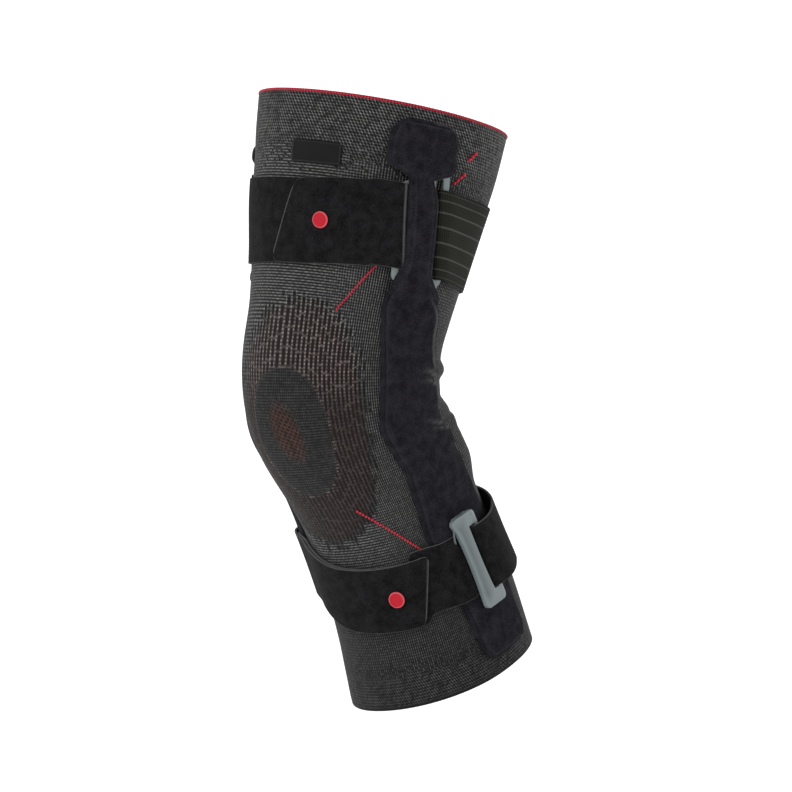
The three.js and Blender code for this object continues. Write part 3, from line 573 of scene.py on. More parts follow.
def kneecap_lift(turn, up):
    """The open ladder knit sinks a little round the denser knit over the kneecap."""
    outer, inner = oval(turn, up, *LADDER_OVAL), oval(turn, up, *KNEECAP_OVAL)
    return -LADDER_DEPTH * smooth((1.05 - outer) / 0.12) * smooth((inner - 0.93) / 0.15)


sleeve_knit = knit_finish()
bm = new_sheet(SLEEVE_COLUMNS, SLEEVE_ROWS)


def sleeve_place(x, y, z):
    turn = (x - 0.5) * 360
    up = y * (THIGH_LENGTH + CALF_LENGTH) - CALF_LENGTH
    return on_leg(turn, up, fold_lift(turn, up) + calf_lift(turn, up) + kneecap_lift(turn, up))


def face_one_way(sheet):
    bmesh.ops.recalc_face_normals(sheet, faces=sheet.faces)


def close_seam(sheet):
    """Joins the edges that meet, with the faces turned one way."""
    bmesh.ops.remove_doubles(sheet, verts=sheet.verts, dist=0.01)
    face_one_way(sheet)


uv_layer = bm.loops.layers.uv.active
for face in bm.faces:
    for loop in face.loops:
        up = loop.vert.co.y * (THIGH_LENGTH + CALF_LENGTH) - CALF_LENGTH
        loop[uv_layer].uv = (loop.vert.co.x, up / UV_HEIGHT + 0.5)
shape(bm, sleeve_place)
close_seam(bm)
sleeve = finished("knit_sleeve_cloth", bm, sleeve_knit, "knit_sleeve", slot="knit")
give_wall(sleeve, KNIT_WALL)

# The top hem: the sleeve's last courses, knitted in red elastic yarn that rolls into a thin round
# edge with its stitches side by side.
HEM_LOW = -0.4
HEM_HEIGHT = 2.3
HEM_PROUD = 0.4
HEM_STITCHES = 240

hem_yarn = Finish("red_hem_yarn", roughness=0.7, specular_ior_level=0.15)
u, v = hem_yarn.uv()
stitch = line(u * HEM_STITCHES + line(v) * 0.4)
fuzz = hem_yarn.noise(hem_yarn.at(u * 400, v * 6), 1.0)
red = hem_yarn.blend(stitch * 0.75 + fuzz * 0.3, (0.07, 0.002, 0.006), (0.5, 0.02, 0.045))
hem_material = hem_yarn.paint(red, height=stitch, depth=0.0006)


def hem_place(x, y, z):
    middle_lift = -KNIT_WALL / 2
    half_wall = KNIT_WALL / 2 + HEM_PROUD
    around = y * 2 * np.pi
    plump = 1 + 0.05 * np.cos(x * HEM_STITCHES * 2 * np.pi)
    up = THIGH_LENGTH + HEM_LOW + HEM_HEIGHT / 2 * (1 - np.cos(around) * plump)
    return on_leg((x - 0.5) * 360, up, middle_lift - half_wall * plump * np.sin(around))


bm = new_sheet(4 * HEM_STITCHES, 12)
shape(bm, hem_place)
close_seam(bm)
finished("red_hem", bm, hem_material, "top_hem", slot="red_yarn")

# The side pockets: brushed velour over foam, welded flat to the knit round its edge, with the
# splint and the upper strap loop under its raised middle. The cloth creases at the knee.
KNIT_GAP = 0.5
PAD_GAP = 0.5
STRAP_GAP = 0.7
GAP = 0.3
SPLINT_THICKNESS = 2.5
POCKET_WALL = 1.6  # from the knit to the outer face, at the flat border
POCKET_CLOTH = 1.2
POCKET_REACH = 0.9995  # a little short, so that the rounded ends keep a width
POCKET_TOP = THIGH_LENGTH - 8
POCKET_FOOT = -(CALF_LENGTH - 11)
HEAD_WIDTH = 46
NECK_WIDTH = 17
POCKET_WIDTH = 52
FOOT_WIDTH = 44
HEAD_CORNER = 14
FOOT_CORNER = 13
HEAD_TAPER = 9
BODY_TAPER = 31
FOOT_TAPER = 45
POCKET_BORDER = 4.2
PAD_RAMP = 2
UPPER_LOOP_LENGTH = 75
UPPER_LOOP_WIDTH = 36
UPPER_LOOP_THICKNESS = 2.4
LOOP_COVER = 2
LOOP_SLOPE = 9  # length over which the cloth comes down from a loop
ELASTIC_WIDTH = 55
UPPER_LOOP_UP = THIGH_LENGTH - 72
SPLINT_TOP = KNIT_GAP + SPLINT_THICKNESS
PAD_UNDER = SPLINT_TOP + PAD_GAP
UPPER_LOOP_LIFT = SPLINT_TOP + GAP
SIDE_LINE = table("at outer inner", [
    (-1.0, 98, 98),
    (-0.62, 98, 98),
    (-0.31, 96, 97),
    (0.0, 90, 92),
    (0.31, 81, 91),
    (0.61, 71, 89),
    (1.0, 64, 86),
])
# How far the bend of the knee draws the pocket's front and rear edges rearwards, at heights from
# the knee.
POCKET_PULL = table("at front rear", [
    (-125, 0, 0),
    (-92, -2.8, 0.3),
    (-74, -1, 0.5),
    (-57, 0.8, 0),
    (-48, 2, -0.8),
    (-38, -0.8, 1.5),
    (-31, -2.5, -1.5),
    (-24, -4.3, -7),
    (-16, -5, -7.8),
    (-2, -2.2, -6),
    (8, 1, -3.5),
    (20, 3.9, -1.5),
    (28, 5, -3.2),
    (39, 5.2, -4),
    (48, 5.6, -3.7),
    (59, 2.8, -1.3),
    (65, -0.5, -1),
    (75, -3.9, -1.5),
    (90, -1, -1),
    (105, 0, 0),
    (125, 0, 0),
    (139, -0.6, -4),
    (145, -0.4, -3),
    (156, 1.2, 1),
    (168, 3, 4.5),
])
# up: of a crease's middle. deep: how far it draws the rear edge in. reach: how far it runs in.
POCKET_CREASES = table("up deep reach", [
    (26, 0.8, 14),
    (12, 3.2, 26),
    (-11, 0.8, 12),
    (-25, 2.6, 24),
    (-52, 0.8, 16),
])


SIDES = ((1, "outer"), (-1, "inner"))


def side_turn(side, up):
    return column(SIDE_LINE, "outer" if side > 0 else "inner", share_of(up))


def beside_turn(side, distance, up):
    return side * turned(side_turn(side, up), up, distance)


def corner_cut(corner, from_end):
    """How far a rounded corner draws an edge in, at a distance from the end."""
    left = np.clip(corner - from_end, 0, corner)
    return corner - np.sqrt(corner**2 - left**2)


def pocket_half(up):
    """Half the pocket's width: a head, a neck between the straps, a wide body and a foot."""
    head = smooth((up - UPPER_LOOP_UP - ELASTIC_WIDTH / 2) / HEAD_TAPER)
    body = smooth((UPPER_LOOP_UP - ELASTIC_WIDTH / 2 - up) / BODY_TAPER)
    foot = smooth(1 - (up - POCKET_FOOT - FOOT_WIDTH / 2) / FOOT_TAPER)
    above, below = between(head, NECK_WIDTH, HEAD_WIDTH), between(foot, POCKET_WIDTH, FOOT_WIDTH)
    half = between(body, above, below) / 2
    for end, corner in ((POCKET_TOP, HEAD_CORNER), (POCKET_FOOT, FOOT_CORNER)):
        half = half - corner_cut(corner, np.abs(end - up))
    return half


def pocket_spot(x, y, reach=1.0):
    """A place of the flat sheet: its height, the pocket's half width there, its share of that half
    and its distance rearwards from the middle, and how far in from the edge it lies. reach is how
    much of the pocket's length the sheet takes up."""
    half_length = (POCKET_TOP - POCKET_FOOT) / 2
    from_middle = half_length * reach * np.sin(np.pi * (y - 0.5))
    up = (POCKET_TOP + POCKET_FOOT) / 2 + from_middle
    half = pocket_half(up)
    share = np.sin(np.pi * (x - 0.5))
    edge = np.minimum(half - np.abs(share * half), half_length - np.abs(from_middle))
    return up, half, share, share * half, edge


def pulled(distance, half, up):
    share = distance / half / 2 + 0.5
    front, rear = (column(POCKET_PULL, name, up) for name in ("front", "rear"))
    return distance + between(share, front, rear)


def pocket_lift(distance, up, edge):
    """The cloth's outer face: rounded at its edge, flat in its border, raised over what it holds."""
    rounded = np.sqrt(1 - (1 - np.clip(edge / POCKET_WALL, 0, 1)) ** 2)
    pad = smooth((edge - POCKET_BORDER + PAD_RAMP) / PAD_RAMP) * (PAD_UNDER - KNIT_GAP)
    past_end = np.maximum(np.abs(up - UPPER_LOOP_UP) - UPPER_LOOP_LENGTH / 2 - LOOP_COVER, 0)
    past_side = np.maximum(np.abs(distance) - UPPER_LOOP_WIDTH / 2 - LOOP_COVER, 0)
    loop_top = UPPER_LOOP_LIFT + UPPER_LOOP_THICKNESS + PAD_GAP - KNIT_GAP
    over_loop = loop_top * smooth(1 - np.hypot(past_end, past_side) / LOOP_SLOPE)
    return KNIT_GAP + POCKET_WALL * rounded + np.maximum(pad, over_loop)


def rear_ridge(from_rear, up):
    """A soft ridge that the bend of the knee presses up along the pocket's rear edge."""
    return bump(from_rear - 6.5, 1.1) * smooth((up - 14) / 8) * smooth((70 - up) / 14)


def crease_line(crease, distance):
    return crease + 2.5 * np.sin(distance / 5 + crease)


def pocket_highlight(x, y, z):
    """Painted highlight: where the nap is drawn pale, on ridges, beside creases, at the rear seam and the
    border.
    """
    up, half, share, distance, edge = pocket_spot(x, y)
    pale = 0.5 * rear_ridge(half - distance, up) + 0.3 * bump(edge, 0.7) * smooth(share * 2)
    pale = pale + 0.05 * bump(edge - 3, 0.8)
    for crease, deep, reach in zip(*POCKET_CREASES.values()):
        above = up - crease_line(crease, distance)
        beside = bump(above - 3, 1.6) + bump(above + 4, 1.4)
        pale = pale + 0.2 * deep * beside * smooth((distance - half + reach) / reach)
    return pale


def pocket_place(side):
    def place(x, y, z):
        up, half, share, distance, edge = pocket_spot(x, y, POCKET_REACH)
        lift = pocket_lift(distance, up, edge)
        for crease, deep, reach in zip(*POCKET_CREASES.values()):
            above = up - crease_line(crease, distance)
            near = bump(above, 3.2)
            rearward = smooth((distance - half + reach) / reach) * smooth(edge / 6)
            distance = distance - deep * near * smooth((share - 0.2) / 0.8)
            lift = lift + (0.5 * bump(above - 5, 3) - 0.35 * deep * near) * rearward
        lift = lift + 0.35 * np.sin(up / 9 + distance / 14) * smooth((edge - 5) / 8)
        lift = lift + 0.5 * rear_ridge(half - distance, up)
        return on_leg(beside_turn(side, pulled(distance, half, up), up), up, lift)

    return place


def face_outwards(sheet, side):
    face_one_way(sheet)
    if sheet.faces[len(sheet.faces) // 2].normal.x * side < 0:
        bmesh.ops.reverse_faces(sheet, faces=sheet.faces)


def velour_finish(name, dark, pale):
    """Brushed loop cloth. The nap is a fine fuzz, patchy where it lies over, and painted pale where a
    highlight is marked.
    """
    velour = Finish(name, roughness=0.9, specular_ior_level=0.02, sheen_weight=0.02, sheen_roughness=0.5)
    place = velour.object_place()
    fuzz = velour.noise(place, 1300.0, 2.0, 0.8)
    nap = velour.noise(place, 150.0, 4.0, 0.6)
    patches = velour.step(nap, 0.3, 0.7)
    grain = velour.step(fuzz, 0.35, 0.68)
    colour = velour.blend(grain * 0.55 + patches * 0.45, dark, pale)
    # Painted highlight: the marked places are drawn pale grey, most where the fuzz is high.
    painted_highlight = velour.painted_highlight() * (fuzz * 1.2 + 0.25)
    colour = velour.blend(painted_highlight, colour, (0.12, 0.12, 0.118))
    return velour.paint(colour, height=fuzz * 0.6 + nap * 0.8, depth=0.0005, strength=0.8)


pocket_velour = velour_finish("pocket_velour", (0.0025, 0.0022, 0.0035), (0.019, 0.0182, 0.023))
for side, name in SIDES:
    bm = new_sheet(56, 230)
    # The pocket gets painted highlights on its ridges, beside its creases, at its rear seam and its
    # border.
    mark_highlight(bm, pocket_highlight(*np.array([vert.co for vert in bm.verts]).T))
    shape(bm, pocket_place(side))
    face_outwards(bm, side)
    pocket = finished(f"{name}_pocket_cloth", bm, pocket_velour, f"{name}_pocket", slot="velour")
    give_wall(pocket, POCKET_CLOTH)

# The splints: flat moulded nylon plates inside the pockets, one to a side, curved to the leg and
# a little narrower than the padded middle that holds them.
SPLINT_PLAY = 0.8
SPLINT_INSET = POCKET_BORDER + SPLINT_PLAY
splint_plastic = Finish("splint_plastic", roughness=0.5)
grain = splint_plastic.noise(splint_plastic.object_place(), 900.0)
splint_black = splint_plastic.blend(grain, (0.02, 0.02, 0.022), (0.035, 0.035, 0.038))
splint_material = splint_plastic.paint(splint_black, height=grain, depth=0.0002)


def splint_place(side):
    def place(x, y, z):
        up = POCKET_FOOT + SPLINT_INSET + y * (POCKET_TOP - POCKET_FOOT - 2 * SPLINT_INSET)
        half = pocket_half(up)
        for end, corner in ((POCKET_TOP, HEAD_CORNER), (POCKET_FOOT, FOOT_CORNER)):
            from_end = np.abs(end - up)
            half = half + corner_cut(corner, from_end) - corner_cut(corner, from_end - SPLINT_INSET)
        distance = (2 * x - 1) * (half - SPLINT_INSET)
        return on_leg(beside_turn(side, pulled(distance, half, up), up), up, KNIT_GAP + SPLINT_THICKNESS)

    return place


for side, name in SIDES:
    bm = new_sheet(12, 120)
    shape(bm, splint_place(side))
    face_outwards(bm, side)
    splint = finished(f"{name}_splint_plate", bm, splint_material, f"{name}_splint", slot="splint")
    give_wall(splint, SPLINT_THICKNESS)

# The strap loops: moulded grey nylon plates. The upper two have a slot on each side and lie on the
# splints, under the pocket. The lower two have one wide slot and a thin bow at the head, and stand
# on feet outside the pocket.
UPPER_RAIL_WIDTH = 4.4
UPPER_SLOT_WIDTH = 5.2
LOWER_LOOP_LENGTH = 62
UPPER_LOOP_HEAD = 6.5
LOWER_LOOP_FRONT = -12.7
LOWER_LOOP_REAR = 5
LOWER_LOOP_THICKNESS = 3.6
FRONT_RAIL_WIDTH = 9.2
REAR_RAIL_WIDTH = 3
LOWER_LOOP_HEAD = 9
LOOP_FOOT_WIDTH = 11
TOP_FLARE = 3.4
FOOT_FLARE = 1.6
SLOT_FLARE = 2.2
LOOP_CORNER = 3.0
LOOP_ROUNDING = 0.6
BOW_RADIUS = 0.75
BOW_TIP = 0.004
HIDDEN_CORNER = 10  # how far the upper loops' front top corner is bent in under the pocket
NARROW_CORNER = 3.5  # and how far their rear bottom corner
STRAP_THICKNESS = 1.6
RAIL_GAP = 0.55
PAD_TOP = PAD_UNDER + POCKET_WALL
LOWER_LOOP_LIFT = PAD_TOP + STRAP_GAP + STRAP_THICKNESS + RAIL_GAP
LOWER_LOOP_UP = -(CALF_LENGTH - 75)
INNER_LOOP_RISE = 15

# slots: front and rear edges of each. head: the plate past a slot's end.
Loop = namedtuple("Loop", "length front rear thickness slots head lift up")

nylon = Finish("grey_nylon", roughness=0.42, specular_ior_level=0.45)
place = nylon.object_place()
mottle = nylon.noise(place, 60.0, 2.0)
spark = nylon.noise(place, 1400.0, 2.0, 0.6)
grey = nylon.blend(mottle * 0.5 + spark * 0.5, (0.035, 0.05, 0.053), (0.085, 0.105, 0.108))
# Painted highlight: the rounded edges are drawn paler, as where light catches them.
grey = nylon.blend(nylon.painted_highlight() * 0.3, grey, (0.25, 0.29, 0.29))
nylon_material = nylon.paint(grey, spark * 0.14 + 0.36, height=spark, depth=0.00012, strength=0.6)


def pushed(sheet, faces, up):
    """Extrudes faces as one region, straight up or down."""
    made = bmesh.ops.extrude_face_region(sheet, geom=faces)["geom"]
    moved = [item for item in made if isinstance(item, bmesh.types.BMVert)]
    bmesh.ops.translate(sheet, verts=moved, vec=(0, 0, up))


def loop_plate(side, loop, standing):
    """The loop cut flat, x across and y along it, raised to its thickness and rounded off."""
    middle = (loop.front + loop.rear) / 2
    end = loop.length / 2
    slot_end = end - loop.head
    edges = {loop.front, loop.rear, *(edge for slot in loop.slots for edge in slot)}
    foot_edges = {middle - LOOP_FOOT_WIDTH / 2, middle + LOOP_FOOT_WIDTH / 2} if standing else set()
    lanes = np.array(sorted(edges | foot_edges))
    rows = np.array([-end, *np.linspace(-slot_end, slot_end, 13), end])
    plate = new_sheet(len(lanes) - 1, len(rows) - 1)
    for vert in plate.verts:
        vert.co.x = lanes[round(vert.co.x * (len(lanes) - 1))]
        vert.co.y = rows[round(vert.co.y * (len(rows) - 1))]
    middles = {face: face.calc_center_median() for face in plate.faces}
    open_faces = [
        face for face, at in middles.items()
        if abs(at.y) < slot_end and any(front < at.x < rear for front, rear in loop.slots)
    ]
    bmesh.ops.delete(plate, geom=open_faces, context="FACES")
    corners = [
        vert for vert in plate.verts
        if abs(abs(vert.co.x - middle) - (loop.rear - loop.front) / 2) < 0.01
        and abs(abs(vert.co.y) - end) < 0.01
    ]
    bmesh.ops.bevel(
        plate, geom=corners, offset=LOOP_CORNER, offset_type="OFFSET", affect="VERTICES",
        segments=4, profile=0.5, material=-1,
    )
    pushed(plate, plate.faces[:], loop.thickness)
    if standing:
        middles = {face: face.calc_center_median() for face in plate.faces}
        sole = [
            face for face, at in middles.items()
            if at.z < 0.01 and abs(at.x - middle) < LOOP_FOOT_WIDTH / 2 and abs(at.y) > slot_end
        ]
        pushed(plate, sole, SPLINT_TOP + GAP - loop.lift)
        bmesh.ops.delete(plate, geom=[face for face in sole if face.is_valid], context="FACES_ONLY")
    face_one_way(plate)
    sharp = [
        edge for edge in plate.edges
        if len(edge.link_faces) == 2 and edge.calc_face_angle(0) > math.radians(50)
    ]
    rounded = bmesh.ops.bevel(
        plate, geom=sharp, offset=LOOP_ROUNDING, offset_type="OFFSET", affect="EDGES",
        segments=3, profile=0.5, material=-1, clamp_overlap=True,
    )
    # The rounded edges get a painted highlight.
    on_edge = {vert for face in rounded["faces"] for vert in face.verts}
    mark_highlight(plate, [vert in on_edge for vert in plate.verts])

    def place(x, y, z):
        flare = (2 * y / loop.length) ** 2
        slot_front = loop.slots[0][0]
        if standing:
            out = np.clip((slot_front - x) / (slot_front - loop.front), 0, 1)
            beside_slot = smooth(2 - np.abs(x - slot_front) / 1.2) * (y < 0)
            x = x - flare * np.where(y > 0, TOP_FLARE, FOOT_FLARE) * out
            x = x + SLOT_FLARE * flare * beside_slot
        else:
            x = x + HIDDEN_CORNER * smooth((y - 22) / 5) * smooth((slot_front - x + 1) / 2)
            x = x - NARROW_CORNER * smooth((-y - 29) / 6) * smooth((x - 12) / 4)
        return on_leg(beside_turn(side, x, loop.up + y), loop.up + y, loop.lift + z)

    shape(plate, place)
    if standing:
        add_bow(plate, side, loop)
    face_one_way(plate)
    return plate


def add_bow(plate, side, loop):
    """A thin bow that runs from the head's front corner down to the pocket."""
    front, end, high = loop.front, loop.length / 2, loop.lift + loop.thickness / 2
    way = np.array([
        (front - 1.2, end - 5, high),
        (front - 2.6, end - 8, high - 0.4),
        (front - 2.9, end - 12, high - 1.6),
        (front - 2.2, end - 17, PAD_TOP + 0.8),
    ])
    bow = new_sheet(12, 10)

    def place(x, y, z):
        across, along, lift = read(np.arange(len(way), dtype=float), way, y * (len(way) - 1)).T
        radius = np.where((y == 0) | (y == 1), BOW_TIP, BOW_RADIUS)
        across = across + radius * np.cos(2 * np.pi * x)
        lift = lift + radius * np.sin(2 * np.pi * x)
        return on_leg(beside_turn(side, across, loop.up + along), loop.up + along, lift)

    shape(bow, place)
    bmesh.ops.remove_doubles(bow, verts=bow.verts, dist=0.02)
    mesh = bpy.data.meshes.new("bow")
    bow.to_mesh(mesh)
    bow.free()
    plate.from_mesh(mesh)
    bpy.data.meshes.remove(mesh)


slot_edge = UPPER_LOOP_WIDTH / 2 - UPPER_RAIL_WIDTH
slot_pair = ((-slot_edge, UPPER_SLOT_WIDTH - slot_edge), (slot_edge - UPPER_SLOT_WIDTH, slot_edge))
upper_loop = Loop(
    UPPER_LOOP_LENGTH, -UPPER_LOOP_WIDTH / 2, UPPER_LOOP_WIDTH / 2, UPPER_LOOP_THICKNESS,
    slot_pair, UPPER_LOOP_HEAD, UPPER_LOOP_LIFT, UPPER_LOOP_UP,
)
wide_slot = (LOWER_LOOP_FRONT + FRONT_RAIL_WIDTH, LOWER_LOOP_REAR - REAR_RAIL_WIDTH)
lower_loop = Loop(
    LOWER_LOOP_LENGTH, LOWER_LOOP_FRONT, LOWER_LOOP_REAR, LOWER_LOOP_THICKNESS,
    (wide_slot,), LOWER_LOOP_HEAD, LOWER_LOOP_LIFT, LOWER_LOOP_UP,
)
inner_lower_loop = lower_loop._replace(up=LOWER_LOOP_UP + INNER_LOOP_RISE)
for side, name, low in ((1, "outer", lower_loop), (-1, "inner", inner_lower_loop)):
    for level, loop, standing in (("upper", upper_loop, False), ("lower", low, True)):
        bm = loop_plate(side, loop, standing)
        node = f"{level}_{name}_loop"
        finished(f"{node}_moulding", bm, nylon_material, node, slot="grey_plastic")

# The straps: velour webbing cut from one flat length each, turned round the rails of the loops
# and pressed closed on itself. A strap's way is a row of stops round the leg.
UPPER_STRAP_WIDTH = 53
UPPER_STRAP_DIP = 9
UPPER_END_TURN = -1.5
UPPER_END_SLANT = 10
LOWER_STRAP_WIDTH = 42
LOWER_END_TURN = 54
LOWER_END_SLANT = 7.5
TAIL_LENGTH = 14
PAST_RAIL = 1
SETTLE = 8
FOLD_SETTLE = 11
SLOT_TURN = 0.9
FOLD_SLACK = 2.2  # how far the upper strap's fold stands off its rail
UPPER_HANG = 3.2  # how far the upper strap and the elastic hang down in their slots
# Shares of the side line's turn up to which the layers across the front lie on the knit.
THIGH_REACH = 0.6
INNER_REACH = 0.72
SHIN_REACH = 0.48
POCKET_SHARE = -0.57  # where the lower strap comes off the inner pocket
RIB_HEIGHT = 0.5
LAY = KNIT_GAP + STRAP_THICKNESS / 2
STRAP_LAYER = STRAP_THICKNESS + GAP
SECOND_LAY = LAY + STRAP_LAYER
HALF_STRAP = STRAP_THICKNESS / 2
UPPER_PASS = UPPER_LOOP_LIFT - RAIL_GAP - HALF_STRAP
UPPER_OVER = UPPER_LOOP_LIFT + UPPER_LOOP_THICKNESS + RAIL_GAP + HALF_STRAP
LOWER_PASS = LOWER_LOOP_LIFT - RAIL_GAP - HALF_STRAP
LOWER_OVER = LOWER_LOOP_LIFT + LOWER_LOOP_THICKNESS + RAIL_GAP + HALF_STRAP
PAST_UPPER = UPPER_LOOP_WIDTH / 2 + PAST_RAIL
PAST_LOWER = PAST_RAIL + TOP_FLARE - LOWER_LOOP_FRONT
TAIL_END = UPPER_LOOP_WIDTH / 2 + TAIL_LENGTH
HUNG_UP = UPPER_LOOP_UP - UPPER_HANG
UPPER_LINE = table("at dip", [
    (-1.0, 0.36),
    (-0.5, 0.95),
    (0.08, 0.95),
    (0.43, 0.65),
    (0.8, 0.36),
    (1.0, 0.36),
])
LOWER_LINE = table("at rise", [
    (-1.0, 1),
    (-0.72, 1),
    (-0.57, 0.93),
    (-0.45, 0.8),
    (-0.1, 0.04),
    (0.15, -0.22),
    (0.5, -0.3),
    (0.8, -0.1),
    (1.0, 0),
])

Stop = namedtuple("Stop", "turn lift up slant folded", defaults=(0.0, False))


def near_loop(side, up, *spots, lap=0):
    """Stops at distances from the side line and lifts, at one height."""
    return [
        Stop(lambda height, distance=distance: beside_turn(side, distance, height) + lap, lift, up)
        for distance, lift in spots
    ]


def round_rail(side, back, loop, up, lap=0, slack=0):
    """The turn round a rail, from under it to over it. back is 1 for the rear rail."""
    middle = loop.lift + loop.thickness / 2
    radius = loop.thickness / 2 + RAIL_GAP + STRAP_THICKNESS / 2
    centre = (loop.slots[-1][1] if back > 0 else -loop.slots[0][0]) + RAIL_GAP
    spots = []
    for degrees in range(-90, 91, 30):
        angle = math.radians(degrees)
        distance = back * (centre - (radius + slack) * math.cos(angle))
        spots.append((distance, middle + radius * math.sin(angle)))
    stops = near_loop(side, up, *spots, lap=lap)
    stops[5] = stops[5]._replace(folded=True)
    return stops


def upper_up(share):
    return UPPER_LOOP_UP - UPPER_STRAP_DIP * column(UPPER_LINE, "dip", share)


def lower_up(share):
    return LOWER_LOOP_UP + INNER_LOOP_RISE * column(LOWER_LINE, "rise", share)


def front_layer(start, end, lift, line_up):
    """Stops of a layer across the front, between two shares of the side line's turn."""
    count = max(2, math.ceil(abs(end - start) * 12))
    return [
        Stop(lambda height, share=share: share * side_turn(share, height), lift, line_up(share))
        for share in (start + (end - start) * i / count for i in range(count + 1))
    ]


def back_stop(share, lift, up):
    """A stop behind the leg, at a share of the way from the outer side line to the inner one."""
    return Stop(lambda at: between(share, side_turn(1, at), 360 - side_turn(-1, at)), lift, up)


def slanted(stops, slant, ease):
    """The stops with the free end cut at a slant, which the stop before it has a share of."""
    before, last = stops[-2:]
    return [*stops[:-2], before._replace(slant=slant * ease), last._replace(slant=slant)]


def add_strap(name, material, node, slot, stops, width, columns, step, corner=0.0):
    """A strap as a flat sheet that is laid along its stops. corner rounds its free end. It has a
    painted highlight at its long edges, its free end and its folds."""
    way = np.array([on_leg(stop.turn(stop.up), stop.up, stop.lift) for stop in stops])
    gone = np.concatenate([[0], np.cumsum(np.linalg.norm(np.diff(way, axis=0), axis=1))])
    length = gone[-1]
    sheet = new_sheet(round(length / step), columns)

    def place(x, y, z):
        along = x * length
        beside = np.sin(np.pi * (y - 0.5)) * (width / 2 - corner_cut(corner, length - along))
        offsets, which = np.unique(np.round(beside, 3), return_inverse=True)
        ways = []
        for stop in stops:
            up = stop.up + offsets
            shift = stop.slant * offsets / (width / 2)
            ways.append(on_leg(turned(stop.turn(up), up, shift), up, stop.lift))
        stations, row = np.unique(np.round(along, 4), return_inverse=True)
        return read(gone, np.array(ways), stations)[row, which]

    folds = [along for along, stop in zip(gone, stops) if stop.folded]
    flat = np.array([vert.co for vert in sheet.verts])
    from_edge = np.minimum(flat[:, 1], 1 - flat[:, 1]) * width
    from_edge = np.minimum(from_edge, (1 - flat[:, 0]) * length)
    from_fold = np.min([np.abs(flat[:, 0] * length - fold) for fold in folds], axis=0)
    # Painted highlight along the long edges, the free end and the folds.
    mark_highlight(sheet, np.maximum(0.6 * (from_edge < 0.1), 0.6 * (from_fold < 0.7)))
    shape(sheet, place)
    face_one_way(sheet)
    give_wall(finished(name, sheet, material, node, slot=slot), STRAP_THICKNESS, 0.0)


upper_end = float(UPPER_END_TURN / side_turn(-1, HUNG_UP))
upper_stops = [
    *near_loop(-1, HUNG_UP, (-TAIL_END, SECOND_LAY), (-PAST_UPPER, UPPER_OVER)),
    *reversed(round_rail(-1, -1, upper_loop, HUNG_UP, slack=FOLD_SLACK)),
    *near_loop(-1, HUNG_UP, (-PAST_UPPER, UPPER_PASS), (-PAST_UPPER - SETTLE, LAY)),
    *front_layer(-INNER_REACH, THIGH_REACH, LAY, upper_up),
    *near_loop(1, HUNG_UP, (-PAST_UPPER - SETTLE, LAY), (-PAST_UPPER, UPPER_PASS)),
    *round_rail(1, -1, upper_loop, HUNG_UP, slack=FOLD_SLACK),
    *near_loop(1, HUNG_UP, (-PAST_UPPER, UPPER_OVER), (-PAST_UPPER - FOLD_SETTLE, SECOND_LAY)),
    *front_layer(THIGH_REACH, upper_end, SECOND_LAY, upper_up),
]
strap_velour = velour_finish("strap_velour", (0.0015, 0.0015, 0.0016), (0.0135, 0.0132, 0.0142))
add_strap(
    "upper_strap_webbing", strap_velour, "upper_strap", "velour",
    slanted(upper_stops, UPPER_END_SLANT, 0.8), UPPER_STRAP_WIDTH, 20, 1.2, corner=7.0,
)

# share, lift in strap layers above the knit
LOWER_BACK = [
    (0.8, 2.6),
    (0.73, 1.4),
    (0.66, 0.5),
    (0.6, 0),
    (0.53, 0),
    (0.46, 0.2),
    (0.39, 0.7),
    (0.33, 1.4),
    (0.27, 2.1),
    (0.2, 3.2),
]
inner_up = LOWER_LOOP_UP + INNER_LOOP_RISE
on_pocket = POCKET_WIDTH / 2 - POCKET_BORDER
half_way = (PAST_LOWER + on_pocket) / 2
clear_of_pocket = POCKET_WIDTH / 2 + 2 * SETTLE
back_stops = []
for share, layers in LOWER_BACK:
    up = LOWER_LOOP_UP + INNER_LOOP_RISE * float(smooth(share * 1.4 - 0.2))
    back_stops.append(back_stop(share, LAY + layers * STRAP_LAYER, up))
clear_up = lower_up(POCKET_SHARE)
lower_end = float(LOWER_END_TURN / side_turn(1, LOWER_LOOP_UP))
under_rail = (-on_pocket - 2 * PAST_RAIL, -half_way, -PAST_LOWER)
off_pocket = [(distance, LOWER_PASS) for distance in under_rail]
lower_stops = [
    *near_loop(-1, inner_up, (on_pocket, LOWER_PASS), (PAST_LOWER, LOWER_PASS), lap=360),
    *round_rail(-1, 1, inner_lower_loop, inner_up, 360),
    *near_loop(-1, inner_up, (PAST_LOWER, LOWER_OVER), lap=360),
    *back_stops,
    *near_loop(1, LOWER_LOOP_UP, (PAST_LOWER, LOWER_OVER), (wide_slot[1] - SLOT_TURN, LOWER_OVER)),
    *near_loop(1, LOWER_LOOP_UP, (wide_slot[0] + SLOT_TURN, LOWER_PASS), *reversed(off_pocket)),
    *near_loop(1, LOWER_LOOP_UP, (-clear_of_pocket, LAY)),
    *front_layer(SHIN_REACH, -SHIN_REACH, LAY, lower_up),
    *near_loop(-1, clear_up, (-clear_of_pocket, LAY)),
    *near_loop(-1, inner_up, *off_pocket),
    *round_rail(-1, -1, inner_lower_loop, inner_up),
    *near_loop(-1, inner_up, (-PAST_LOWER, LOWER_OVER)),
    *near_loop(-1, clear_up, (-clear_of_pocket, SECOND_LAY)),
    *front_layer(-SHIN_REACH, lower_end, SECOND_LAY, lower_up),
]
add_strap(
    "lower_strap_webbing", strap_velour, "lower_strap", "velour",
    slanted(lower_stops, LOWER_END_SLANT, 0.7), LOWER_STRAP_WIDTH, 18, 1.4, corner=4.0,
)

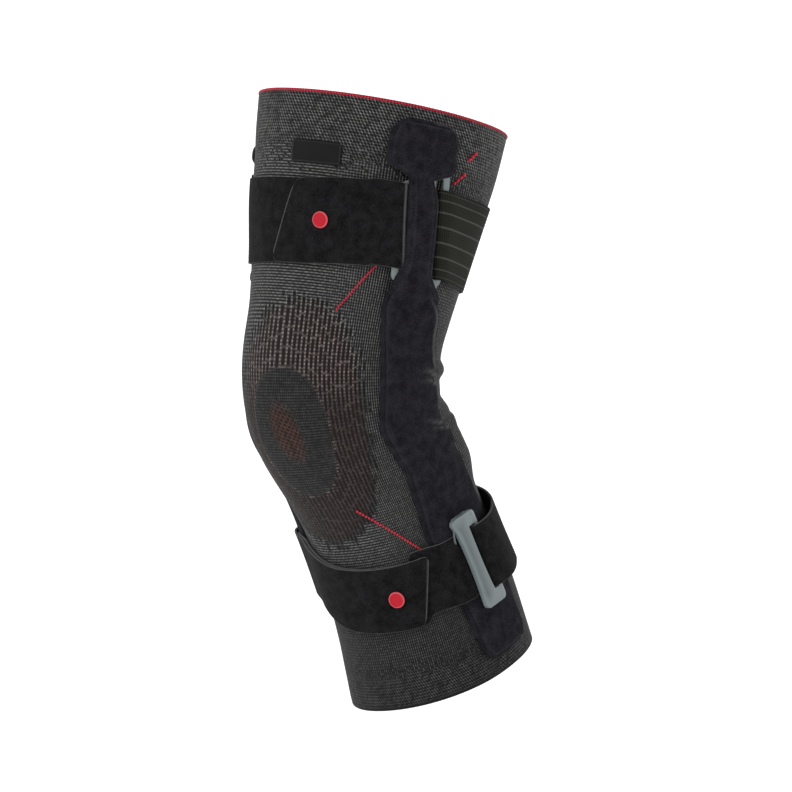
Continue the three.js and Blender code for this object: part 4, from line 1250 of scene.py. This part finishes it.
# The elastic band behind the thigh: woven ribbed elastic, sewn round the rear rails of the upper
# loops, with thin pale lines along its ribs.
ELASTIC_LINES = 9
elastic_weave = Finish("ribbed_elastic", roughness=0.8, specular_ior_level=0.05)
u, v = elastic_weave.uv()
pale_line = line(v * ELASTIC_LINES + 0.5) ** 30
crimp = line(u * 190.0)
weave = line(u * 190.0 + v * 40.0) * line(v * 42.0)
fuzz = elastic_weave.noise(elastic_weave.object_place(), 1500.0, 2.0, 0.6)
olive = elastic_weave.blend(fuzz * 0.6 + crimp * 0.4, (0.003, 0.003, 0.0022), (0.02, 0.02, 0.016))
olive = elastic_weave.blend(pale_line * (fuzz * 0.6 + 0.3), olive, (0.085, 0.085, 0.075))
elastic_height = pale_line * 0.6 + crimp * 0.3 + weave * 0.3
elastic_material = elastic_weave.paint(olive, height=elastic_height, depth=0.0006)
elastic_ends = {
    side: [
        *near_loop(side, HUNG_UP, (TAIL_END, LAY), (PAST_UPPER, UPPER_PASS), lap=lap),
        *round_rail(side, 1, upper_loop, HUNG_UP, lap),
        *near_loop(
            side, HUNG_UP, (PAST_UPPER, UPPER_OVER), (TAIL_END + PAST_RAIL + RIB_HEIGHT, SECOND_LAY),
            (TAIL_END + FOLD_SETTLE, LAY + RIB_HEIGHT), lap=lap,
        ),
    ]
    for side, lap in ((1, 0), (-1, 360))
}
elastic_stops = [
    *elastic_ends[1],
    *(back_stop(share, LAY, HUNG_UP) for share in np.linspace(0.2, 0.8, 16)),
    *reversed(elastic_ends[-1]),
]
add_strap(
    "ribbed_elastic_band", elastic_material, "upper_elastic", "elastic",
    elastic_stops, ELASTIC_WIDTH, 14, 2.0,
)

# The red buttons: moulded studs riveted near the straps' pull ends, low domes with a rolled edge.
BUTTON_RADIUS = 5.3
BUTTON_HEIGHT = 2.4
UPPER_BUTTON_TURN = 20
LOWER_BUTTON_TURN = 31
# out: share of the radius. high: share of the height.
BUTTON_PROFILE = [
    (0.0, 0.0),
    (0.88, 0.0),
    (0.9, 0.3),
    (0.97, 0.36),
    (1.0, 0.55),
    (0.98, 0.78),
    (0.9, 0.95),
    (0.82, 0.98),
    (0.74, 0.84),
    (0.66, 0.78),
    (0.45, 0.9),
    (0.2, 0.98),
    (0.0, 1.0),
]
red_plastic = Finish("red_stud", roughness=0.35, specular_ior_level=0.15)
place = red_plastic.object_place()
speckle = red_plastic.noise(place, 2600.0, 2.0, 0.7)
stud_red = red_plastic.blend(speckle, (0.24, 0.003, 0.01), (0.42, 0.008, 0.02))
# Painted highlight: a pale pink ring on the rolled rim.
stud_red = red_plastic.blend(red_plastic.painted_highlight() * 0.5, stud_red, (0.65, 0.13, 0.15))
stud_material = red_plastic.paint(
    stud_red, speckle * 0.25 + 0.3, height=speckle, depth=0.0002, strength=0.5,
)
buttons = (
    ("upper_button", UPPER_BUTTON_TURN, upper_up(UPPER_BUTTON_TURN / side_turn(1, UPPER_LOOP_UP))),
    ("lower_button", LOWER_BUTTON_TURN, lower_up(LOWER_BUTTON_TURN / side_turn(1, LOWER_LOOP_UP))),
)
for name, turn, up in buttons:
    bm = lathed([(BUTTON_RADIUS * out, BUTTON_HEIGHT * high) for out, high in BUTTON_PROFILE], 48)
    face_one_way(bm)
    # The rolled rim gets a painted highlight.
    mark_highlight(bm, [0.89 < vert.co.xy.length / BUTTON_RADIUS and vert.co.z > 1 for vert in bm.verts])
    foot = Vector(on_leg(turn, up, SECOND_LAY + HALF_STRAP + GAP))
    beside = Vector(on_leg(turn + 1, up) - on_leg(turn - 1, up))
    along = Vector(on_leg(turn, up + 1) - on_leg(turn, up - 1))
    upright = beside.cross(along).to_track_quat("Z", "Y").to_matrix().to_4x4()
    bmesh.ops.transform(bm, matrix=Matrix.Translation(foot) @ upright, verts=bm.verts)
    finished(f"{name}_stud", bm, stud_material, name, slot="red_plastic")

# The patch: a bare woven tab with a stitched border, sewn to the knit above the upper strap.
LABEL_WIDTH = 36.5
LABEL_HEIGHT = 14.5
LABEL_THICKNESS = 1
LABEL_TURN = 13
LABEL_UP = THIGH_LENGTH - 37.5
LABEL_CORNER = 3
label_weave = Finish("patch_weave", roughness=0.8, specular_ior_level=0.1)
u, v = label_weave.uv()
thread = line(v * 30.0) * line(u * 60.0 + 0.5) * 0.6 + line(u * 60.0) * 0.4
from_side = (abs(u - 0.5) * -1 + 0.5) * LABEL_WIDTH
from_top = (abs(v - 0.5) * -1 + 0.5) * LABEL_HEIGHT
to_border = from_side.maths("MINIMUM", from_top)
seam = label_weave.step(abs(to_border - 1.1), 0.42, 0.15)
stitches = seam * label_weave.step(line(u * 22.0).maths("MAXIMUM", line(v * 11.0)), 0.25, 0.5)
dark = label_weave.blend(thread, (0.003, 0.003, 0.0035), (0.014, 0.013, 0.014))
dark = label_weave.blend(stitches * 0.3, dark, (0.05, 0.05, 0.055))
label_material = label_weave.paint(dark, height=thread * 0.4 + stitches * 0.6 - seam * 0.4, depth=0.0004)


def label_place(x, y, z):
    height = (y - 0.5) * LABEL_HEIGHT
    from_end = LABEL_HEIGHT / 2 - np.abs(height)
    distance = (x - 0.5) * (LABEL_WIDTH - 2 * corner_cut(LABEL_CORNER, from_end))
    edge = np.minimum(from_end, LABEL_WIDTH / 2 - np.abs(distance))
    up = LABEL_UP + height
    lift = KNIT_GAP + LABEL_THICKNESS * (0.55 + 0.45 * smooth(edge / 1.2))
    return on_leg(turned(np.full_like(up, LABEL_TURN), up, distance), up, lift)


bm = new_sheet(44, 24)
shape(bm, label_place)
face_one_way(bm)
label = finished("bare_patch", bm, label_material, "label_patch", slot="label_cloth")
give_wall(label, LABEL_THICKNESS * 0.9)

# The red stitches: short lengths of thick red thread in slanting rows beside the outer pocket,
# which mark where the splint's ends lie.
# start, end: turn and up of a row's ends. count: its stitches. radius: its thread's.
STITCH_ROWS = [
    ((32, 48), (53, 81), 22, 0.75),
    ((24, -61), (63, -102), 26, 0.75),
    ((87, 139), (93, 148), 4, 1.05),
    ((93, 156), (98, 163), 3, 1.05),
]
thread = Finish("red_thread", roughness=0.6, specular_ior_level=0.2)
twist = thread.noise(thread.object_place(), 1500.0, 2.0)
thread_red = thread.blend(twist, (0.25, 0.006, 0.015), (0.55, 0.025, 0.05))
thread_material = thread.paint(thread_red, height=twist, depth=0.0004)
bm = bmesh.new()
for start, end, count, radius in STITCH_ROWS:
    start, run = np.array(start, float), np.subtract(end, start) / count
    for i in range(count):
        middle = on_leg(*(start + run * (i + 0.5)), radius / 2)
        heading = Vector(on_leg(*(start + run * (i + 0.8)), radius / 2) - middle)
        made = bmesh.ops.create_icosphere(bm, subdivisions=2, radius=1.0)["verts"]
        lie = heading.to_track_quat("X", "Z").to_matrix().to_4x4()
        size = Matrix.Diagonal((heading.length * 1.45, radius * 1.15, radius, 1))
        bmesh.ops.transform(bm, matrix=Matrix.Translation(middle) @ lie @ size, verts=made)
finished("red_stitches", bm, thread_material, slot="red_yarn")
